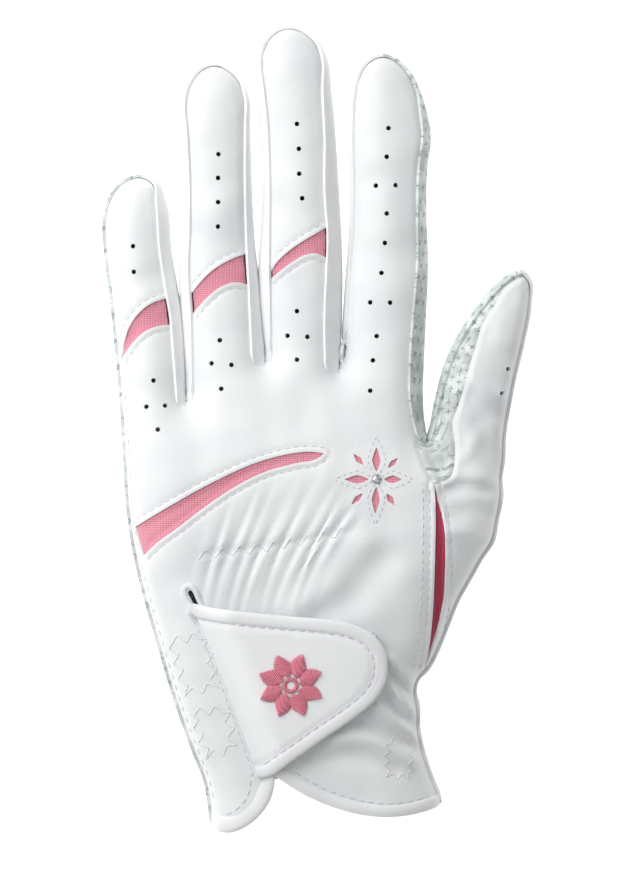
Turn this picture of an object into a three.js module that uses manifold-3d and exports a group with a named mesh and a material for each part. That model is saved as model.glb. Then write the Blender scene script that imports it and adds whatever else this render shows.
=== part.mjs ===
// Golf glove for the left hand, lying palm down.
// Millimetres. +Y points to the fingertips, +X to the thumb and +Z up through the back of the hand.
// The origin is under the middle of the glove, on the surface that it rests on.
//
// Method: the hand, the fingers and the thumb are closed lofts. Their union, less the same lofts
// made one wall thinner, is the hollow glove. Upright cutters with the outlines of the cut leather
// pieces then divide that hollow glove along its seams. Layers over and under the back, such as
// the closing tab and the elastic, lie between two hand lofts of different size.
import * as THREE from 'three';
import { mergeVertices } from 'three/addons/utils/BufferGeometryUtils.js';
import Module from 'manifold-3d';

const wasm = await Module();
wasm.setup();

// ---- Driving dimensions ------------------------------------------------------------------------
const WALL = 0.9;             // leather and knit thickness
const SEAM_GAP = 0.35;        // clearance between two pieces that are sewn together
const HINGE_GAP = 0.4;        // clearance between a finger's two halves at its middle knuckle
const BACK_INSET = 2.2;       // how far the back leather's seam lies inside the glove's outline
const SEAM_HEIGHT = 3.6;      // height of the seam between the palm leather and the side strips
const CUFF_SPLIT = 9;         // above this height the cuff follows the back's edge, below it the palm's
const TIP_HEIGHT = 6.6;       // height at which a fingertip closes
const BINDING_WIDTH = 3.4;    // rolled edge of the cuff and of the closing tab
const CLEAN_UP = 0.01;        // the cutters' sliver faces below this size are merged
const FAR = 150;              // farther out than any point of the glove
const SKY = 60;               // height that every upright cutter reaches
const HAND_SIDES = 24;        // points around the hand loft
const FINGER_SIDES = 12;      // points around a finger loft
const SQUARENESS = 2.4;       // exponent of the superellipse sections; 2 is a true ellipse

// Layers over and under the back leather, as [bottom, top] above the glove's outer surface.
const LOOP_LAYER = [0.3, 1.1];
const HOOK_LAYER = [1.4, 2.2];
const TAB_LAYER = [2.5, 3.7];
const TAB_BINDING_LAYER = [2.4, 4.0];
const EMBLEM_LAYER = [4.0, 5.0];
const CRYSTAL_LAYER = [0.3, 1.7];
const UNDER_LAYER = [-2.0, -1.25];

// The hand's sections: [y, left edge, right edge, height of the back].
const HAND_ROWS = [
  [-112, -29.5, 31.5, 20.0],
  [-92, -31.6, 29.6, 20.5],
  [-78, -35.6, 26.6, 21.5],
  [-62, -40.5, 29.0, 23.0],
  [-45, -45.2, 33.5, 24.5],
  [-28, -49.0, 35.5, 25.0],
  [-12, -50.6, 33.0, 24.0],
  [0, -51.6, 29.0, 21.5],
  [7, -51.6, 27.0, 18.0],
];
const KNUCKLE_ROW = 7;         // the last section, before it is bent to the knuckles' curve
const KNUCKLE_CURVE = 0.0105;  // how fast the knuckles' curve falls away from the middle finger
const KNUCKLE_PEAK = [-8, 15];
const KNUCKLE_BEND_START = -24;

// Each finger: sections [x, y, half width, height], its tip and its middle knuckle as [x, y].
// insert gives the slanting knit band's lower and upper edge at the finger's left and right side.
// corridor is the room to the left and right of the knuckle that holds the finger and no other.
const FINGERS = {
  little: {
    sections: [[-41, -14, 6, 15], [-43.2, 8, 9.0, 16], [-45.5, 29, 8.8, 15.5],
      [-47.8, 46, 8.4, 14.5], [-48.2, 57.5, 7.9, 13]],
    tip: [-47.6, 66.6],
    knuckle: [-45.8, 27],
    corridor: [16, 9.2],
    insert: { left: [19.5, 27.5], right: [27.5, 34.5] },
  },
  ring: {
    sections: [[-24, -12, 8, 16], [-25.1, 22, 10.2, 17], [-26.4, 42, 9.7, 16],
      [-27.2, 67, 8.9, 15], [-28.0, 86, 8.9, 13.5]],
    tip: [-27.8, 96.8],
    knuckle: [-26.4, 38.5],
    corridor: [10.4, 11],
    insert: { left: [30.5, 35.5], right: [38.4, 46.2] },
  },
  middle: {
    sections: [[-4.6, -12, 8, 16], [-4.7, 22, 10.3, 17], [-4.8, 42, 10.4, 16],
      [-4.8, 68, 9.4, 15], [-6.6, 95, 9.0, 13.5]],
    tip: [-7.4, 106.4],
    knuckle: [-4.8, 47],
    corridor: [10.8, 11.4],
    insert: { left: [39.8, 41.8], right: [46.0, 53.8] },
  },
  index: {
    sections: [[14, -14, 7, 16], [17.0, 20, 10.4, 17], [18.2, 40, 10.1, 16],
      [18.5, 66, 9.6, 15], [18.1, 88, 9.4, 13.5]],
    tip: [17.4, 99.2],
    knuckle: [18.2, 42],
    corridor: [10.8, 16],
    insert: null,
  },
};
const STRIP_START = -4;       // the side strips between the fingers start here, below the crotches
const STRIP_END = 7;          // and end this far short of a fingertip

// The thumb: sections from its heel near the wrist to its last knuckle, and its tip.
const THUMB = {
  sections: [[22, -64, 7.5, 18], [26.5, -50, 8.6, 20], [31.6, -39, 9.4, 20.5], [37, -27, 9.8, 20],
    [38.6, -13, 9.9, 19], [39.7, 0, 9.9, 18], [42.4, 12, 9.3, 17], [45.4, 22.5, 8.5, 16],
    [49.2, 32.5, 6.7, 13.5]],
  tip: [54.4, 41.9],
};
const THUMB_CREASE = -14;     // y of the fold straight across the thumb's base
const THUMB_INNER = 29.2;     // x where the thumb leaves the hand
const THUMB_SPAN = [-16, 46];  // the thumb lies between these values of y
const THUMB_SEAM = [[35, -16], [36, -3], [38.2, 10.5], [41.6, 22.2], [47, 33.6], [56, 46]];

// The back leather's seam along the thumb side, from the cuff to the index finger.
const THUMB_SIDE_SEAM = [[28.4, -115], [27.4, -92], [24.6, -78], [26.6, -66],
  [29.2, -57], [30.4, -43], [30.8, -25], [30.4, -15], [27.8, -9.5], [25.8, -3], [24.4, 6]];
// The right edge of the lens-shaped gusset beside that seam.
const GUSSET_RIGHT = [[31.7, -14.6], [33.2, -26], [33.6, -38], [32.6, -49], [30.4, -57], [27.4, -63.4]];

// The long curved window in the back, pointed at its right end.
const WINDOW = [[-48.2, -25.9], [-39, -20.2], [-26.8, -13.5], [-16.6, -8.9], [-8.5, -6.6], [-1.2, -5.9],
  [2.4, -6.5], [-6.4, -9], [-13.3, -10.9], [-20.7, -14.4], [-29.9, -20.5], [-36.8, -25.8], [-46.8, -33.6]];

// The flower's diamond petals: [direction in degrees, inner end, outer end, half width].
const FLOWER_CENTRE = [15.3, -13.1];
const PETALS = [[90, 2.1, 8.2, 1.0], [0, 2.1, 6.4, 1.0], [180, 2.1, 8.1, 1.1], [268, 2.1, 8.7, 1.0],
  [132, 5.2, 8.8, 0.5], [45, 4.4, 7.6, 0.5], [225, 5.4, 9.1, 0.5], [305, 4.7, 7.9, 0.5]];

// The closing tab: the two ends of its sewn root, then the corners of its free end.
const TAB_OUTLINE = [[-33.8, -44.8], [-12, -48.4], [3, -50], [10.5, -51.4], [15.6, -54.6], [18, -60],
  [17.6, -66.4], [13.6, -72], [7, -77.2], [-12, -90.6], [-15.6, -91.8]];
const EMBLEM_CENTRE = [-7.2, -66.9];
const EMBLEM_RADIUS = 8.6;
const HOOK_PATCH = { centre: [6.5, -62], size: [14, 15] };
const LOOP_PATCH = { centre: [4.5, -63], size: [22, 20] };

// The slit under the tab that lets the cuff open.
const SLIT = [[-34.4, -41.8], [-32.2, -40.6], [-30.6, -43.5], [-9.6, -88.6], [-9.6, -95], [-15, -95],
  [-13.8, -88.6]];

// The cuff's edge: two lobes on the back with a notch between them, one straighter edge on the palm.
const BACK_CUFF = [[-31, -98.5], [-28.6, -104.4], [-25, -106.3], [-21, -104.8], [-17, -102], [-14, -98],
  [-12.8, -92], [-11.9, -89.6], [-10.4, -90.8], [-5, -94.6], [3.4, -98.4], [12, -100.9], [20.5, -101.4],
  [28.5, -99], [32.8, -97]];
const PALM_CUFF = [[-31, -98], [-22, -92], [-8, -88.5], [10, -88.5], [20, -92], [26.5, -96.5], [32.8, -97]];
const CUFF_BINDING_SPLIT = -11.9;

// Elastic: the gathers across the back and the strip inside the palm's heel.
const WINDOW_LAP = 1.2;       // how far the knit behind the window reaches past its edge
const FLOWER_RADIUS = 9.7;     // of the knit behind the petals
const CRYSTAL_RADIUS = 1.6;
const GATHERS = { from: [-31, -32.7], to: [5.8, -27.2], width: 5 };
const HEEL_ELASTIC = { from: [-18, -72], to: [8, -72], width: 6, heights: [1.25, 2.05] };

// ---- Outlines ------------------------------------------------------------------------------------
function mix(a, b, t) {
  return a + (b - a) * t;
}

// Moves every side of a closed outline outwards by a distance.
function offsetOutline(outline, distance) {
  const turn = Math.sign(THREE.ShapeUtils.area(outline.map(([x, y]) => ({ x, y }))));
  const normal = ([x0, y0], [x1, y1]) => {
    const length = Math.hypot(x1 - x0, y1 - y0) * turn;
    return [(y1 - y0) / length, (x0 - x1) / length];
  };
  return outline.map(([x, y], k) => {
    const before = normal(outline[(k + outline.length - 1) % outline.length], [x, y]);
    const after = normal([x, y], outline[(k + 1) % outline.length]);
    const stretch = distance / (1 + before[0] * after[0] + before[1] * after[1]);
    return [x + (before[0] + after[0]) * stretch, y + (before[1] + after[1]) * stretch];
  });
}

function circle([x, y], radius, count) {
  return Array.from({ length: count }, (_, k) => {
    const angle = (2 * Math.PI * k) / count;
    return [x + radius * Math.cos(angle), y + radius * Math.sin(angle)];
  });
}

function rectangle({ centre: [x, y], size: [width, height] }) {
  const [w, h] = [width / 2, height / 2];
  return [[x - w, y - h], [x + w, y - h], [x + w, y + h], [x - w, y + h]];
}

// A straight strip between two points.
function strip({ from, to, width }) {
  const length = Math.hypot(to[0] - from[0], to[1] - from[1]);
  const [a, b] = [((from[1] - to[1]) / length) * (width / 2), ((to[0] - from[0]) / length) * (width / 2)];
  return [[from[0] - a, from[1] - b], [to[0] - a, to[1] - b],
    [to[0] + a, to[1] + b], [from[0] + a, from[1] + b]];
}

// ---- Solids --------------------------------------------------------------------------------------
function toSolid(geometry) {
  geometry.deleteAttribute('normal');
  geometry.deleteAttribute('uv');
  const merged = mergeVertices(geometry, 1e-4);
  return new wasm.Manifold(new wasm.Mesh({
    numProp: 3,
    vertProperties: new Float32Array(merged.attributes.position.array),
    triVerts: new Uint32Array(merged.index.array),
  }));
}

// An upright cutter with the given plan outline.
function prism(outline, low = -5, high = SKY) {
  const shape = new THREE.Shape(outline.map(([x, y]) => new THREE.Vector2(x, y)));
  const geometry = new THREE.ExtrudeGeometry(shape, { depth: high - low, bevelEnabled: false });
  geometry.translate(0, 0, low);
  return toSolid(geometry);
}

function block([left, front, low], [right, rear, high]) {
  return prism([[left, front], [right, front], [right, rear], [left, rear]], low, high);
}

function unite(solids) {
  return solids.reduce((all, one) => all.add(one));
}

// A closed loft through rings that all have the same number of points.
function loft(rings) {
  const corners = [];
  const count = rings[0].length;
  for (let r = 0; r < rings.length - 1; r += 1) {
    for (let k = 0; k < count; k += 1) {
      const next = (k + 1) % count;
      corners.push(rings[r][k], rings[r][next], rings[r + 1][k]);
      corners.push(rings[r][next], rings[r + 1][next], rings[r + 1][k]);
    }
  }
  // Each end is closed by upright strips between a ring's upper and lower points.
  const [first, last] = [rings[0], rings[rings.length - 1]];
  for (let k = 0; k < count / 2 - 1; k += 1) {
    const [a, b, c, d] = [k, k + 1, count - 2 - k, count - 1 - k];
    corners.push(first[a], first[d], first[c], first[a], first[c], first[b]);
    corners.push(last[a], last[c], last[d], last[a], last[b], last[c]);
  }
  return toSolid(new THREE.BufferGeometry().setFromPoints(corners));
}

// The points of a superellipse, as [across, up] from its centre, turning from +across to +up.
function superellipse(halfWidth, halfHeight, count) {
  const power = 2 / SQUARENESS;
  const bend = (value) => Math.sign(value) * Math.abs(value) ** power;
  return Array.from({ length: count }, (_, k) => {
    const angle = (2 * Math.PI * (k + 0.5)) / count;
    return [halfWidth * bend(Math.cos(angle)), halfHeight * bend(Math.sin(angle))];
  });
}

// Moves a point of the hand forward so that the last section follows the knuckles' curve.
function bendToKnuckles(x, y) {
  const peak = KNUCKLE_PEAK[1] - KNUCKLE_CURVE * (x - KNUCKLE_PEAK[0]) ** 2;
  const t = THREE.MathUtils.clamp((y - KNUCKLE_BEND_START) / (KNUCKLE_ROW - KNUCKLE_BEND_START), 0, 1);
  return y + (peak - KNUCKLE_ROW) * t * t;
}

// The hand, grown outwards by a distance.
function handLoft(grow) {
  const rings = HAND_ROWS.map(([y, left, right, height]) => {
    const end = y === KNUCKLE_ROW ? grow : 0;
    return superellipse((right - left) / 2 + grow, (height + 1) / 2 + grow, HAND_SIDES)
      .map(([across, up]) => {
        const x = (left + right) / 2 + across;
        return new THREE.Vector3(x, bendToKnuckles(x, y) + end, (height - 1) / 2 + up);
      });
  });
  return loft(rings.map((ring) => ring.reverse()));
}

// A finger or the thumb, grown outwards by a distance: sections square to its centre line and a
// rounded tip.
function fingerLoft({ sections, tip }, grow) {
  const line = [...sections, tip];
  const directionAt = (place) => {
    const [from, to] = [line[Math.max(0, place - 1)], line[Math.min(line.length - 1, place + 1)]];
    return new THREE.Vector2(to[0] - from[0], to[1] - from[1]).normalize();
  };
  const ring = (x, y, direction, halfWidth, low, high) => (
    superellipse(halfWidth, (high - low) / 2, FINGER_SIDES).map(([across, up]) => new THREE.Vector3(
      x + across * direction.y,
      y - across * direction.x,
      (low + high) / 2 + up,
    )).reverse());
  const rings = sections.map(([x, y, half, height], place) => (
    ring(x, y, directionAt(place), half + grow, -1 - grow, height + grow)));
  const [x, y, half, height] = sections[sections.length - 1];
  const direction = directionAt(sections.length);
  const reach = Math.hypot(tip[0] - x, tip[1] - y) + grow;
  [30, 52, 70, 84].forEach((degrees) => {
    const angle = THREE.MathUtils.degToRad(degrees);
    const [ahead, shrink] = [reach * Math.sin(angle), Math.cos(angle)];
    rings.push(ring(
      x + direction.x * ahead,
      y + direction.y * ahead,
      direction,
      (half + grow) * shrink,
      mix(TIP_HEIGHT, -1 - grow, shrink),
      mix(TIP_HEIGHT, height + grow, shrink),
    ));
  });
  return loft(rings);
}

function gloveLoft(grow) {
  const fingers = [...Object.values(FINGERS), THUMB].map((finger) => fingerLoft(finger, grow));
  return unite([handLoft(grow), ...fingers]);
}

// A layer that follows the back of the hand, [bottom, top] above it.
function layer([low, high], outline) {
  return handLoft(high).subtract(handLoft(low)).intersect(prism(outline, CUFF_SPLIT));
}

// ---- The hollow glove ----------------------------------------------------------------------------
// Everything above the cuff's edge, with the edge moved up by a distance.
function aboveCuff(lift) {
  const region = (edge) => [[-FAR, edge[0][1] + lift], ...edge.map(([x, y]) => [x, y + lift]),
    [FAR, edge[edge.length - 1][1] + lift], [FAR, FAR], [-FAR, FAR]];
  return prism(region(BACK_CUFF), CUFF_SPLIT).add(prism(region(PALM_CUFF), -5, CUFF_SPLIT));
}

function hollowGlove() {
  const outside = gloveLoft(0).intersect(block([-FAR, -FAR, 0], [FAR, FAR, SKY]));
  const inside = gloveLoft(-WALL).intersect(block([-FAR, -FAR, WALL], [FAR, FAR, SKY]));
  return outside.subtract(inside).intersect(aboveCuff(0)).subtract(prism(SLIT, CUFF_SPLIT));
}

// ---- Cutters -------------------------------------------------------------------------------------
// The back leather's strip along one finger, grown outwards by a distance.
function fingerBackOutline({ sections, tip }, grow) {
  const sides = [[], []];
  const addRow = (x, y, width) => {
    sides[0].push([x - width, y]);
    sides[1].push([x + width, y]);
  };
  sections.forEach(([x, y, half]) => addRow(x, y, half - BACK_INSET + grow));
  const [lastX, lastY, lastHalf] = sections[sections.length - 1];
  const reach = tip[1] - lastY - BACK_INSET / 2 + grow;
  [30, 55, 75, 90].forEach((degrees) => {
    const angle = THREE.MathUtils.degToRad(degrees);
    const width = Math.max(1.5, (lastHalf - BACK_INSET + grow) * Math.cos(angle));
    addRow(mix(lastX, tip[0], Math.sin(angle)), lastY + reach * Math.sin(angle), width);
  });
  return [...sides[0], ...sides[1].reverse()];
}

// Where the back leather lies: the hand as far as the knuckles, and a strip along each finger.
function backRegion(grow) {
  const left = HAND_ROWS.map(([y, edge]) => [edge + BACK_INSET - grow, y]);
  const knuckles = [-34, -24, -14, -4, 5, 15].map((x) => [x, bendToKnuckles(x, KNUCKLE_ROW) - 1.5 + grow]);
  const right = THUMB_SIDE_SEAM.map(([x, y]) => [x + grow, y]).reverse();
  const fingers = Object.values(FINGERS).map((finger) => fingerBackOutline(finger, grow));
  return unite([
    prism([...left, ...knuckles, ...right], CUFF_SPLIT - grow),
    ...fingers.map((outline) => prism(outline, TIP_HEIGHT - grow)),
  ]);
}

// Where the strip between two neighbouring fingers lies: from one centre line to the other.
function betweenRegion(left, right, grow) {
  const ends = [left, right].map(({ tip }) => tip[1] - STRIP_END + grow);
  const centreLine = ({ sections }, end) => [
    [sections[0][0], STRIP_START],
    ...sections.slice(1).filter(([, y]) => y < end).map(([x, y]) => [x, y]),
  ];
  const gap = (left.sections[4][0] + right.sections[4][0]) / 2;
  return prism([
    ...centreLine(left, ends[0]),
    [left.tip[0], ends[0]],
    [gap, ends[0]],
    [gap, ends[1]],
    [right.tip[0], ends[1]],
    ...centreLine(right, ends[1]).reverse(),
  ], SEAM_HEIGHT - grow);
}

// Everything beyond a finger's middle knuckle, in that finger's own corridor.
function beyondKnuckle({ sections, tip, knuckle, corridor }, grow) {
  const lean = Math.atan2(tip[0] - sections[1][0], tip[1] - sections[1][1]);
  const point = (across, along) => [
    knuckle[0] + across * Math.cos(lean) + along * Math.sin(lean),
    knuckle[1] - across * Math.sin(lean) + along * Math.cos(lean),
  ];
  return prism([point(-corridor[0], -grow), point(corridor[1], -grow), point(corridor[1], FAR / 2),
    point(-corridor[0], FAR / 2)]);
}

// The slanting band across a finger's back where the knit shows, from [lower, upper] edges.
function knuckleBand({ sections, insert }, grow) {
  const [x, , half] = sections[2];
  const [left, right] = [x - half - 1, x + half + 1];
  return prism([[left, insert.left[0] - grow], [right, insert.right[0] - grow],
    [right, insert.right[1] + grow], [left, insert.left[1] + grow]], SEAM_HEIGHT - grow);
}

// Everything on the back that lies beyond a finger's knit band.
function beyondBand({ sections, insert, corridor }, grow) {
  const [x, , half] = sections[2];
  const slope = (insert.right[1] - insert.left[1]) / (2 * half + 2);
  const edge = (across) => [x + across, (insert.left[1] + insert.right[1]) / 2 + slope * across - grow];
  return prism([edge(-corridor[0]), edge(corridor[1]), [x + corridor[1], FAR],
    [x - corridor[0], FAR]], SEAM_HEIGHT);
}

function thumbRegion(grow) {
  return prism([[THUMB_INNER - grow, THUMB_CREASE - grow], [FAR, THUMB_CREASE - grow], [FAR, FAR],
    [THUMB_INNER - grow, FAR]]);
}

function petal([degrees, inner, outer, half]) {
  const angle = THREE.MathUtils.degToRad(degrees);
  const point = (along, across) => [
    FLOWER_CENTRE[0] + along * Math.cos(angle) - across * Math.sin(angle),
    FLOWER_CENTRE[1] + along * Math.sin(angle) + across * Math.cos(angle),
  ];
  const widest = mix(inner, outer, 0.45);
  return prism([point(inner, 0), point(widest, -half), point(outer, 0), point(widest, half)]);
}

// Everything to the right of a line that runs towards +Y, between two values of y and above a height.
function rightOf(line, [front, rear], low) {
  return prism([...line, [FAR, rear], [FAR, front]], low)
    .intersect(block([-FAR, front, low], [FAR, rear, SKY]));
}

// ---- Materials and pieces --------------------------------------------------------------------------
const LEATHER = { color: 0xf2f2f2, roughness: 0.55 };
const PALM_LEATHER = { color: 0xdde3df, roughness: 0.75 };
const PINK_KNIT = { color: 0xdb7388, roughness: 0.85 };
const GUSSET_KNIT = { color: 0xb8335a, roughness: 0.85 };
const BINDING = { color: 0xf6f6f6, roughness: 0.5 };
const TAPE = { color: 0xe9e9e9, roughness: 0.95 };
const ELASTIC = { color: 0xe4e4e4, roughness: 0.9 };
const SATIN = { color: 0xee7f95, roughness: 0.4 };
const CRYSTAL = { color: 0xbfc6cc, roughness: 0.05 };

const group = new THREE.Group();

// Adds one piece to the glove. Crumbs that the cutters leave beside it are dropped.
function addPiece(name, solid, material) {
  const [piece] = solid.simplify(CLEAN_UP).decompose().sort((a, b) => b.volume() - a.volume());
  const { triVerts, vertProperties, numProp } = piece.getMesh();
  const corners = Array.from(triVerts, (vertex) => (
    new THREE.Vector3().fromArray(vertProperties, vertex * numProp)));
  const geometry = new THREE.BufferGeometry().setFromPoints(corners);
  geometry.computeVertexNormals();
  const mesh = new THREE.Mesh(geometry, new THREE.MeshStandardMaterial({ metalness: 0, ...material }));
  mesh.name = name;
  group.add(mesh);
}

const { little, ring, middle, index } = FINGERS;
const BANDED = { little, ring, middle };
const NEIGHBOURS = {
  ring_little: { little, ring },
  middle_ring: { ring, middle },
  index_middle: { middle, index },
};

const hollow = hollowGlove();
const cuffRoll = hollow.subtract(aboveCuff(BINDING_WIDTH));
const body = hollow.intersect(aboveCuff(BINDING_WIDTH + SEAM_GAP));
const handBody = body.subtract(thumbRegion(HINGE_GAP / 2));
const thumbBody = body.intersect(thumbRegion(-HINGE_GAP / 2));
const backGrown = backRegion(SEAM_GAP);
const tipsGrown = unite(Object.values(FINGERS).map((finger) => beyondKnuckle(finger, HINGE_GAP / 2)));

// The side of the hand below the thumb's crease holds the gusset and the thumb's heel.
const HEEL_SPAN = [-63.4, THUMB_CREASE];
const gussetLeft = THUMB_SIDE_SEAM.filter(([, y]) => y > HEEL_SPAN[0] && y < THUMB_CREASE);
const heelSide = rightOf(gussetLeft, HEEL_SPAN, SEAM_HEIGHT - SEAM_GAP);

function addBackPieces() {
  const back = handBody.intersect(backRegion(0));
  const windows = unite([prism(WINDOW), ...PETALS.map(petal)]);
  const beyond = unite([
    ...Object.values(BANDED).map((finger) => knuckleBand(finger, SEAM_GAP)),
    ...Object.values(BANDED).map((finger) => beyondBand(finger, SEAM_GAP)),
    beyondKnuckle(index, HINGE_GAP / 2),
  ]);
  addPiece('back_panel', back.subtract(windows).subtract(beyond), LEATHER);
  Object.entries(BANDED).forEach(([name, finger]) => {
    addPiece(`${name}_knuckle_insert`, back.intersect(knuckleBand(finger, 0)), PINK_KNIT);
    addPiece(`${name}_back_tip`, back.intersect(beyondBand(finger, 0)), LEATHER);
  });
  addPiece('index_back_tip', back.intersect(beyondKnuckle(index, -HINGE_GAP / 2)), LEATHER);
  addPiece('back_insert', layer(UNDER_LAYER, offsetOutline(WINDOW, WINDOW_LAP)), PINK_KNIT);
  addPiece('flower_backing', layer(UNDER_LAYER, circle(FLOWER_CENTRE, FLOWER_RADIUS, 20)), PINK_KNIT);
  addPiece('flower_crystal', layer(CRYSTAL_LAYER, circle(FLOWER_CENTRE, CRYSTAL_RADIUS, 10)), CRYSTAL);
  addPiece('gather_elastic', layer(UNDER_LAYER, strip(GATHERS)), ELASTIC);
}

// One forked strip from knuckle to knuckle round each crotch, and its two ends beyond the knuckles.
function addFourchettes() {
  Object.entries(NEIGHBOURS).forEach(([pair, neighbours]) => {
    const [left, right] = Object.values(neighbours);
    const [leftName, rightName] = Object.keys(neighbours);
    const walls = handBody.intersect(betweenRegion(left, right, 0)).subtract(backGrown);
    const endOf = (finger) => walls.intersect(beyondKnuckle(finger, -HINGE_GAP / 2));
    addPiece(`fourchette_${pair}`, walls.subtract(tipsGrown), LEATHER);
    addPiece(`${leftName}_fourchette_by_${rightName}`, endOf(left), LEATHER);
    addPiece(`${rightName}_fourchette_by_${leftName}`, endOf(right), LEATHER);
  });
}

// The palm leather also wraps up the little finger's outer side and the index finger's thumb side.
function addPalmPieces() {
  const strips = Object.values(NEIGHBOURS).map((pair) => betweenRegion(...Object.values(pair), SEAM_GAP));
  const palm = handBody.subtract(backGrown).subtract(unite(strips)).subtract(heelSide);
  addPiece('palm_panel', palm.subtract(tipsGrown), PALM_LEATHER);
  Object.entries(FINGERS).forEach(([name, finger]) => {
    addPiece(`${name}_palm_tip`, palm.intersect(beyondKnuckle(finger, -HINGE_GAP / 2)), PALM_LEATHER);
  });
  addPiece('heel_elastic', prism(strip(HEEL_ELASTIC), ...HEEL_ELASTIC.heights), ELASTIC);
}

function addThumbPieces() {
  const backSide = (grow) => (
    rightOf(THUMB_SEAM.map(([x, y]) => [x - grow, y]), THUMB_SPAN, SEAM_HEIGHT - grow));
  addPiece('thumb_back', thumbBody.intersect(backSide(0)), LEATHER);
  addPiece('thumb_palm', thumbBody.subtract(backSide(SEAM_GAP)), PALM_LEATHER);
  const side = handBody.intersect(heelSide);
  const gusset = [
    ...gussetLeft.map(([x, y]) => [x + SEAM_GAP, y]),
    ...GUSSET_RIGHT.map(([x, y]) => [x - SEAM_GAP, y]),
  ];
  const heel = rightOf([...GUSSET_RIGHT].reverse(), HEEL_SPAN, SEAM_HEIGHT);
  addPiece('thumb_heel_panel', side.intersect(heel), LEATHER);
  addPiece('thumb_gusset', side.intersect(prism(gusset, SEAM_HEIGHT)), GUSSET_KNIT);
}

function addCuffPieces() {
  const left = block([-FAR, -FAR, -5], [CUFF_BINDING_SPLIT - SEAM_GAP / 2, FAR, SKY]);
  const right = block([CUFF_BINDING_SPLIT + SEAM_GAP / 2, -FAR, -5], [FAR, FAR, SKY]);
  addPiece('cuff_binding_little_side', cuffRoll.intersect(left), BINDING);
  addPiece('cuff_binding_thumb_side', cuffRoll.intersect(right), BINDING);
  addPiece('wrist_loop_patch', layer(LOOP_LAYER, rectangle(LOOP_PATCH)), TAPE);
}

// The tab's panel reaches its root; its rolled edge goes round its other three sides.
function addTabPieces() {
  const [top, bottom] = [TAB_OUTLINE[0], TAB_OUTLINE[TAB_OUTLINE.length - 1]];
  const onRoot = (share) => [mix(top[0], bottom[0], share), mix(top[1], bottom[1], share)];
  const rootShare = BINDING_WIDTH / Math.hypot(bottom[0] - top[0], bottom[1] - top[1]);
  const panel = [onRoot(rootShare), ...offsetOutline(TAB_OUTLINE, -BINDING_WIDTH).slice(1, -1),
    onRoot(1 - rootShare)];
  const roll = layer(TAB_BINDING_LAYER, TAB_OUTLINE).subtract(prism(offsetOutline(panel, SEAM_GAP / 2)));
  addPiece('tab_panel', layer(TAB_LAYER, offsetOutline(panel, -SEAM_GAP / 2)), LEATHER);
  addPiece('tab_binding', roll, BINDING);
  addPiece('hook_patch', layer(HOOK_LAYER, rectangle(HOOK_PATCH)), TAPE);
  addPiece('tab_emblem', layer(EMBLEM_LAYER, circle(EMBLEM_CENTRE, EMBLEM_RADIUS, 24)), SATIN);
}

addBackPieces();
addFourchettes();
addPalmPieces();
addThumbPieces();
addCuffPieces();
addTabPieces();

export default group;
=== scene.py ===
# The looks of a golf glove for the left hand, lying palm down: leather, knit, stitching and tab.
# Plan outlines and heights are in millimetres and become metres where a mesh is made.
# +Y points to the fingertips, +X to the thumb and +Z up through the back of the hand.
#
# Method: EDGE is the glove's outline seen from above. The back is one height field inside it, cut
# along the seams into panels; the palm is a second one; walls bulge between the two round EDGE.
import math

import bpy
import numpy as np
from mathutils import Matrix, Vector
from mathutils.geometry import delaunay_2d_cdt


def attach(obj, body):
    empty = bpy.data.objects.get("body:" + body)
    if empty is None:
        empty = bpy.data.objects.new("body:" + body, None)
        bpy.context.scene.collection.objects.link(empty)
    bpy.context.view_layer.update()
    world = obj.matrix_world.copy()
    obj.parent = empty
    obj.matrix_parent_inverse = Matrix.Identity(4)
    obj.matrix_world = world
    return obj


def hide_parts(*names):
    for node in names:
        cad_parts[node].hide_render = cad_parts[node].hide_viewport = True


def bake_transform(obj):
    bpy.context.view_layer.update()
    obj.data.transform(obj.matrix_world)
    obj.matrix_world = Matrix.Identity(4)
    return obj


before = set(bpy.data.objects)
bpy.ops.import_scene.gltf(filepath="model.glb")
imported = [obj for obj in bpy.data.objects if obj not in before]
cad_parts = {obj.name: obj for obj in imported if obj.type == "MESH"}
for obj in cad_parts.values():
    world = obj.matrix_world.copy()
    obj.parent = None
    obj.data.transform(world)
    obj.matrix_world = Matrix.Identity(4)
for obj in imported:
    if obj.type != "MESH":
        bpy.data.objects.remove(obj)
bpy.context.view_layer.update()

# ---- Driving dimensions, in millimetres ------------------------------------------------
MM = 0.001
STEP = 1.1                # spacing of points along outlines and inside panels
FINE_STEP = 0.8           # spacing of points where the back is gathered
LEATHER = 0.8             # thickness of the leather
KNIT = 0.5                # thickness of the knit
KNIT_DROP = 0.55          # how far the knit lies below the leather round a window
PALM_INSET = 2.0          # distance of the palm's seam from the outline
EDGE_STITCHES = 1.5       # distance of a row of stitches from a cut edge
HIDDEN_STEP = 1.2         # spacing of points in the tape patches
SQUARENESS = 2.4          # exponent of the glove's rounded sections
SEAM_RINGS = (0.55, 1.05, 1.5, 2.0)   # distances from a seam at which the back has points
HOLE_RADIUS = 0.66        # of a perforation
STITCH_PITCH = 2.3
STITCH_LENGTH = 1.5
THREAD_RADIUS = 0.14

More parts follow.
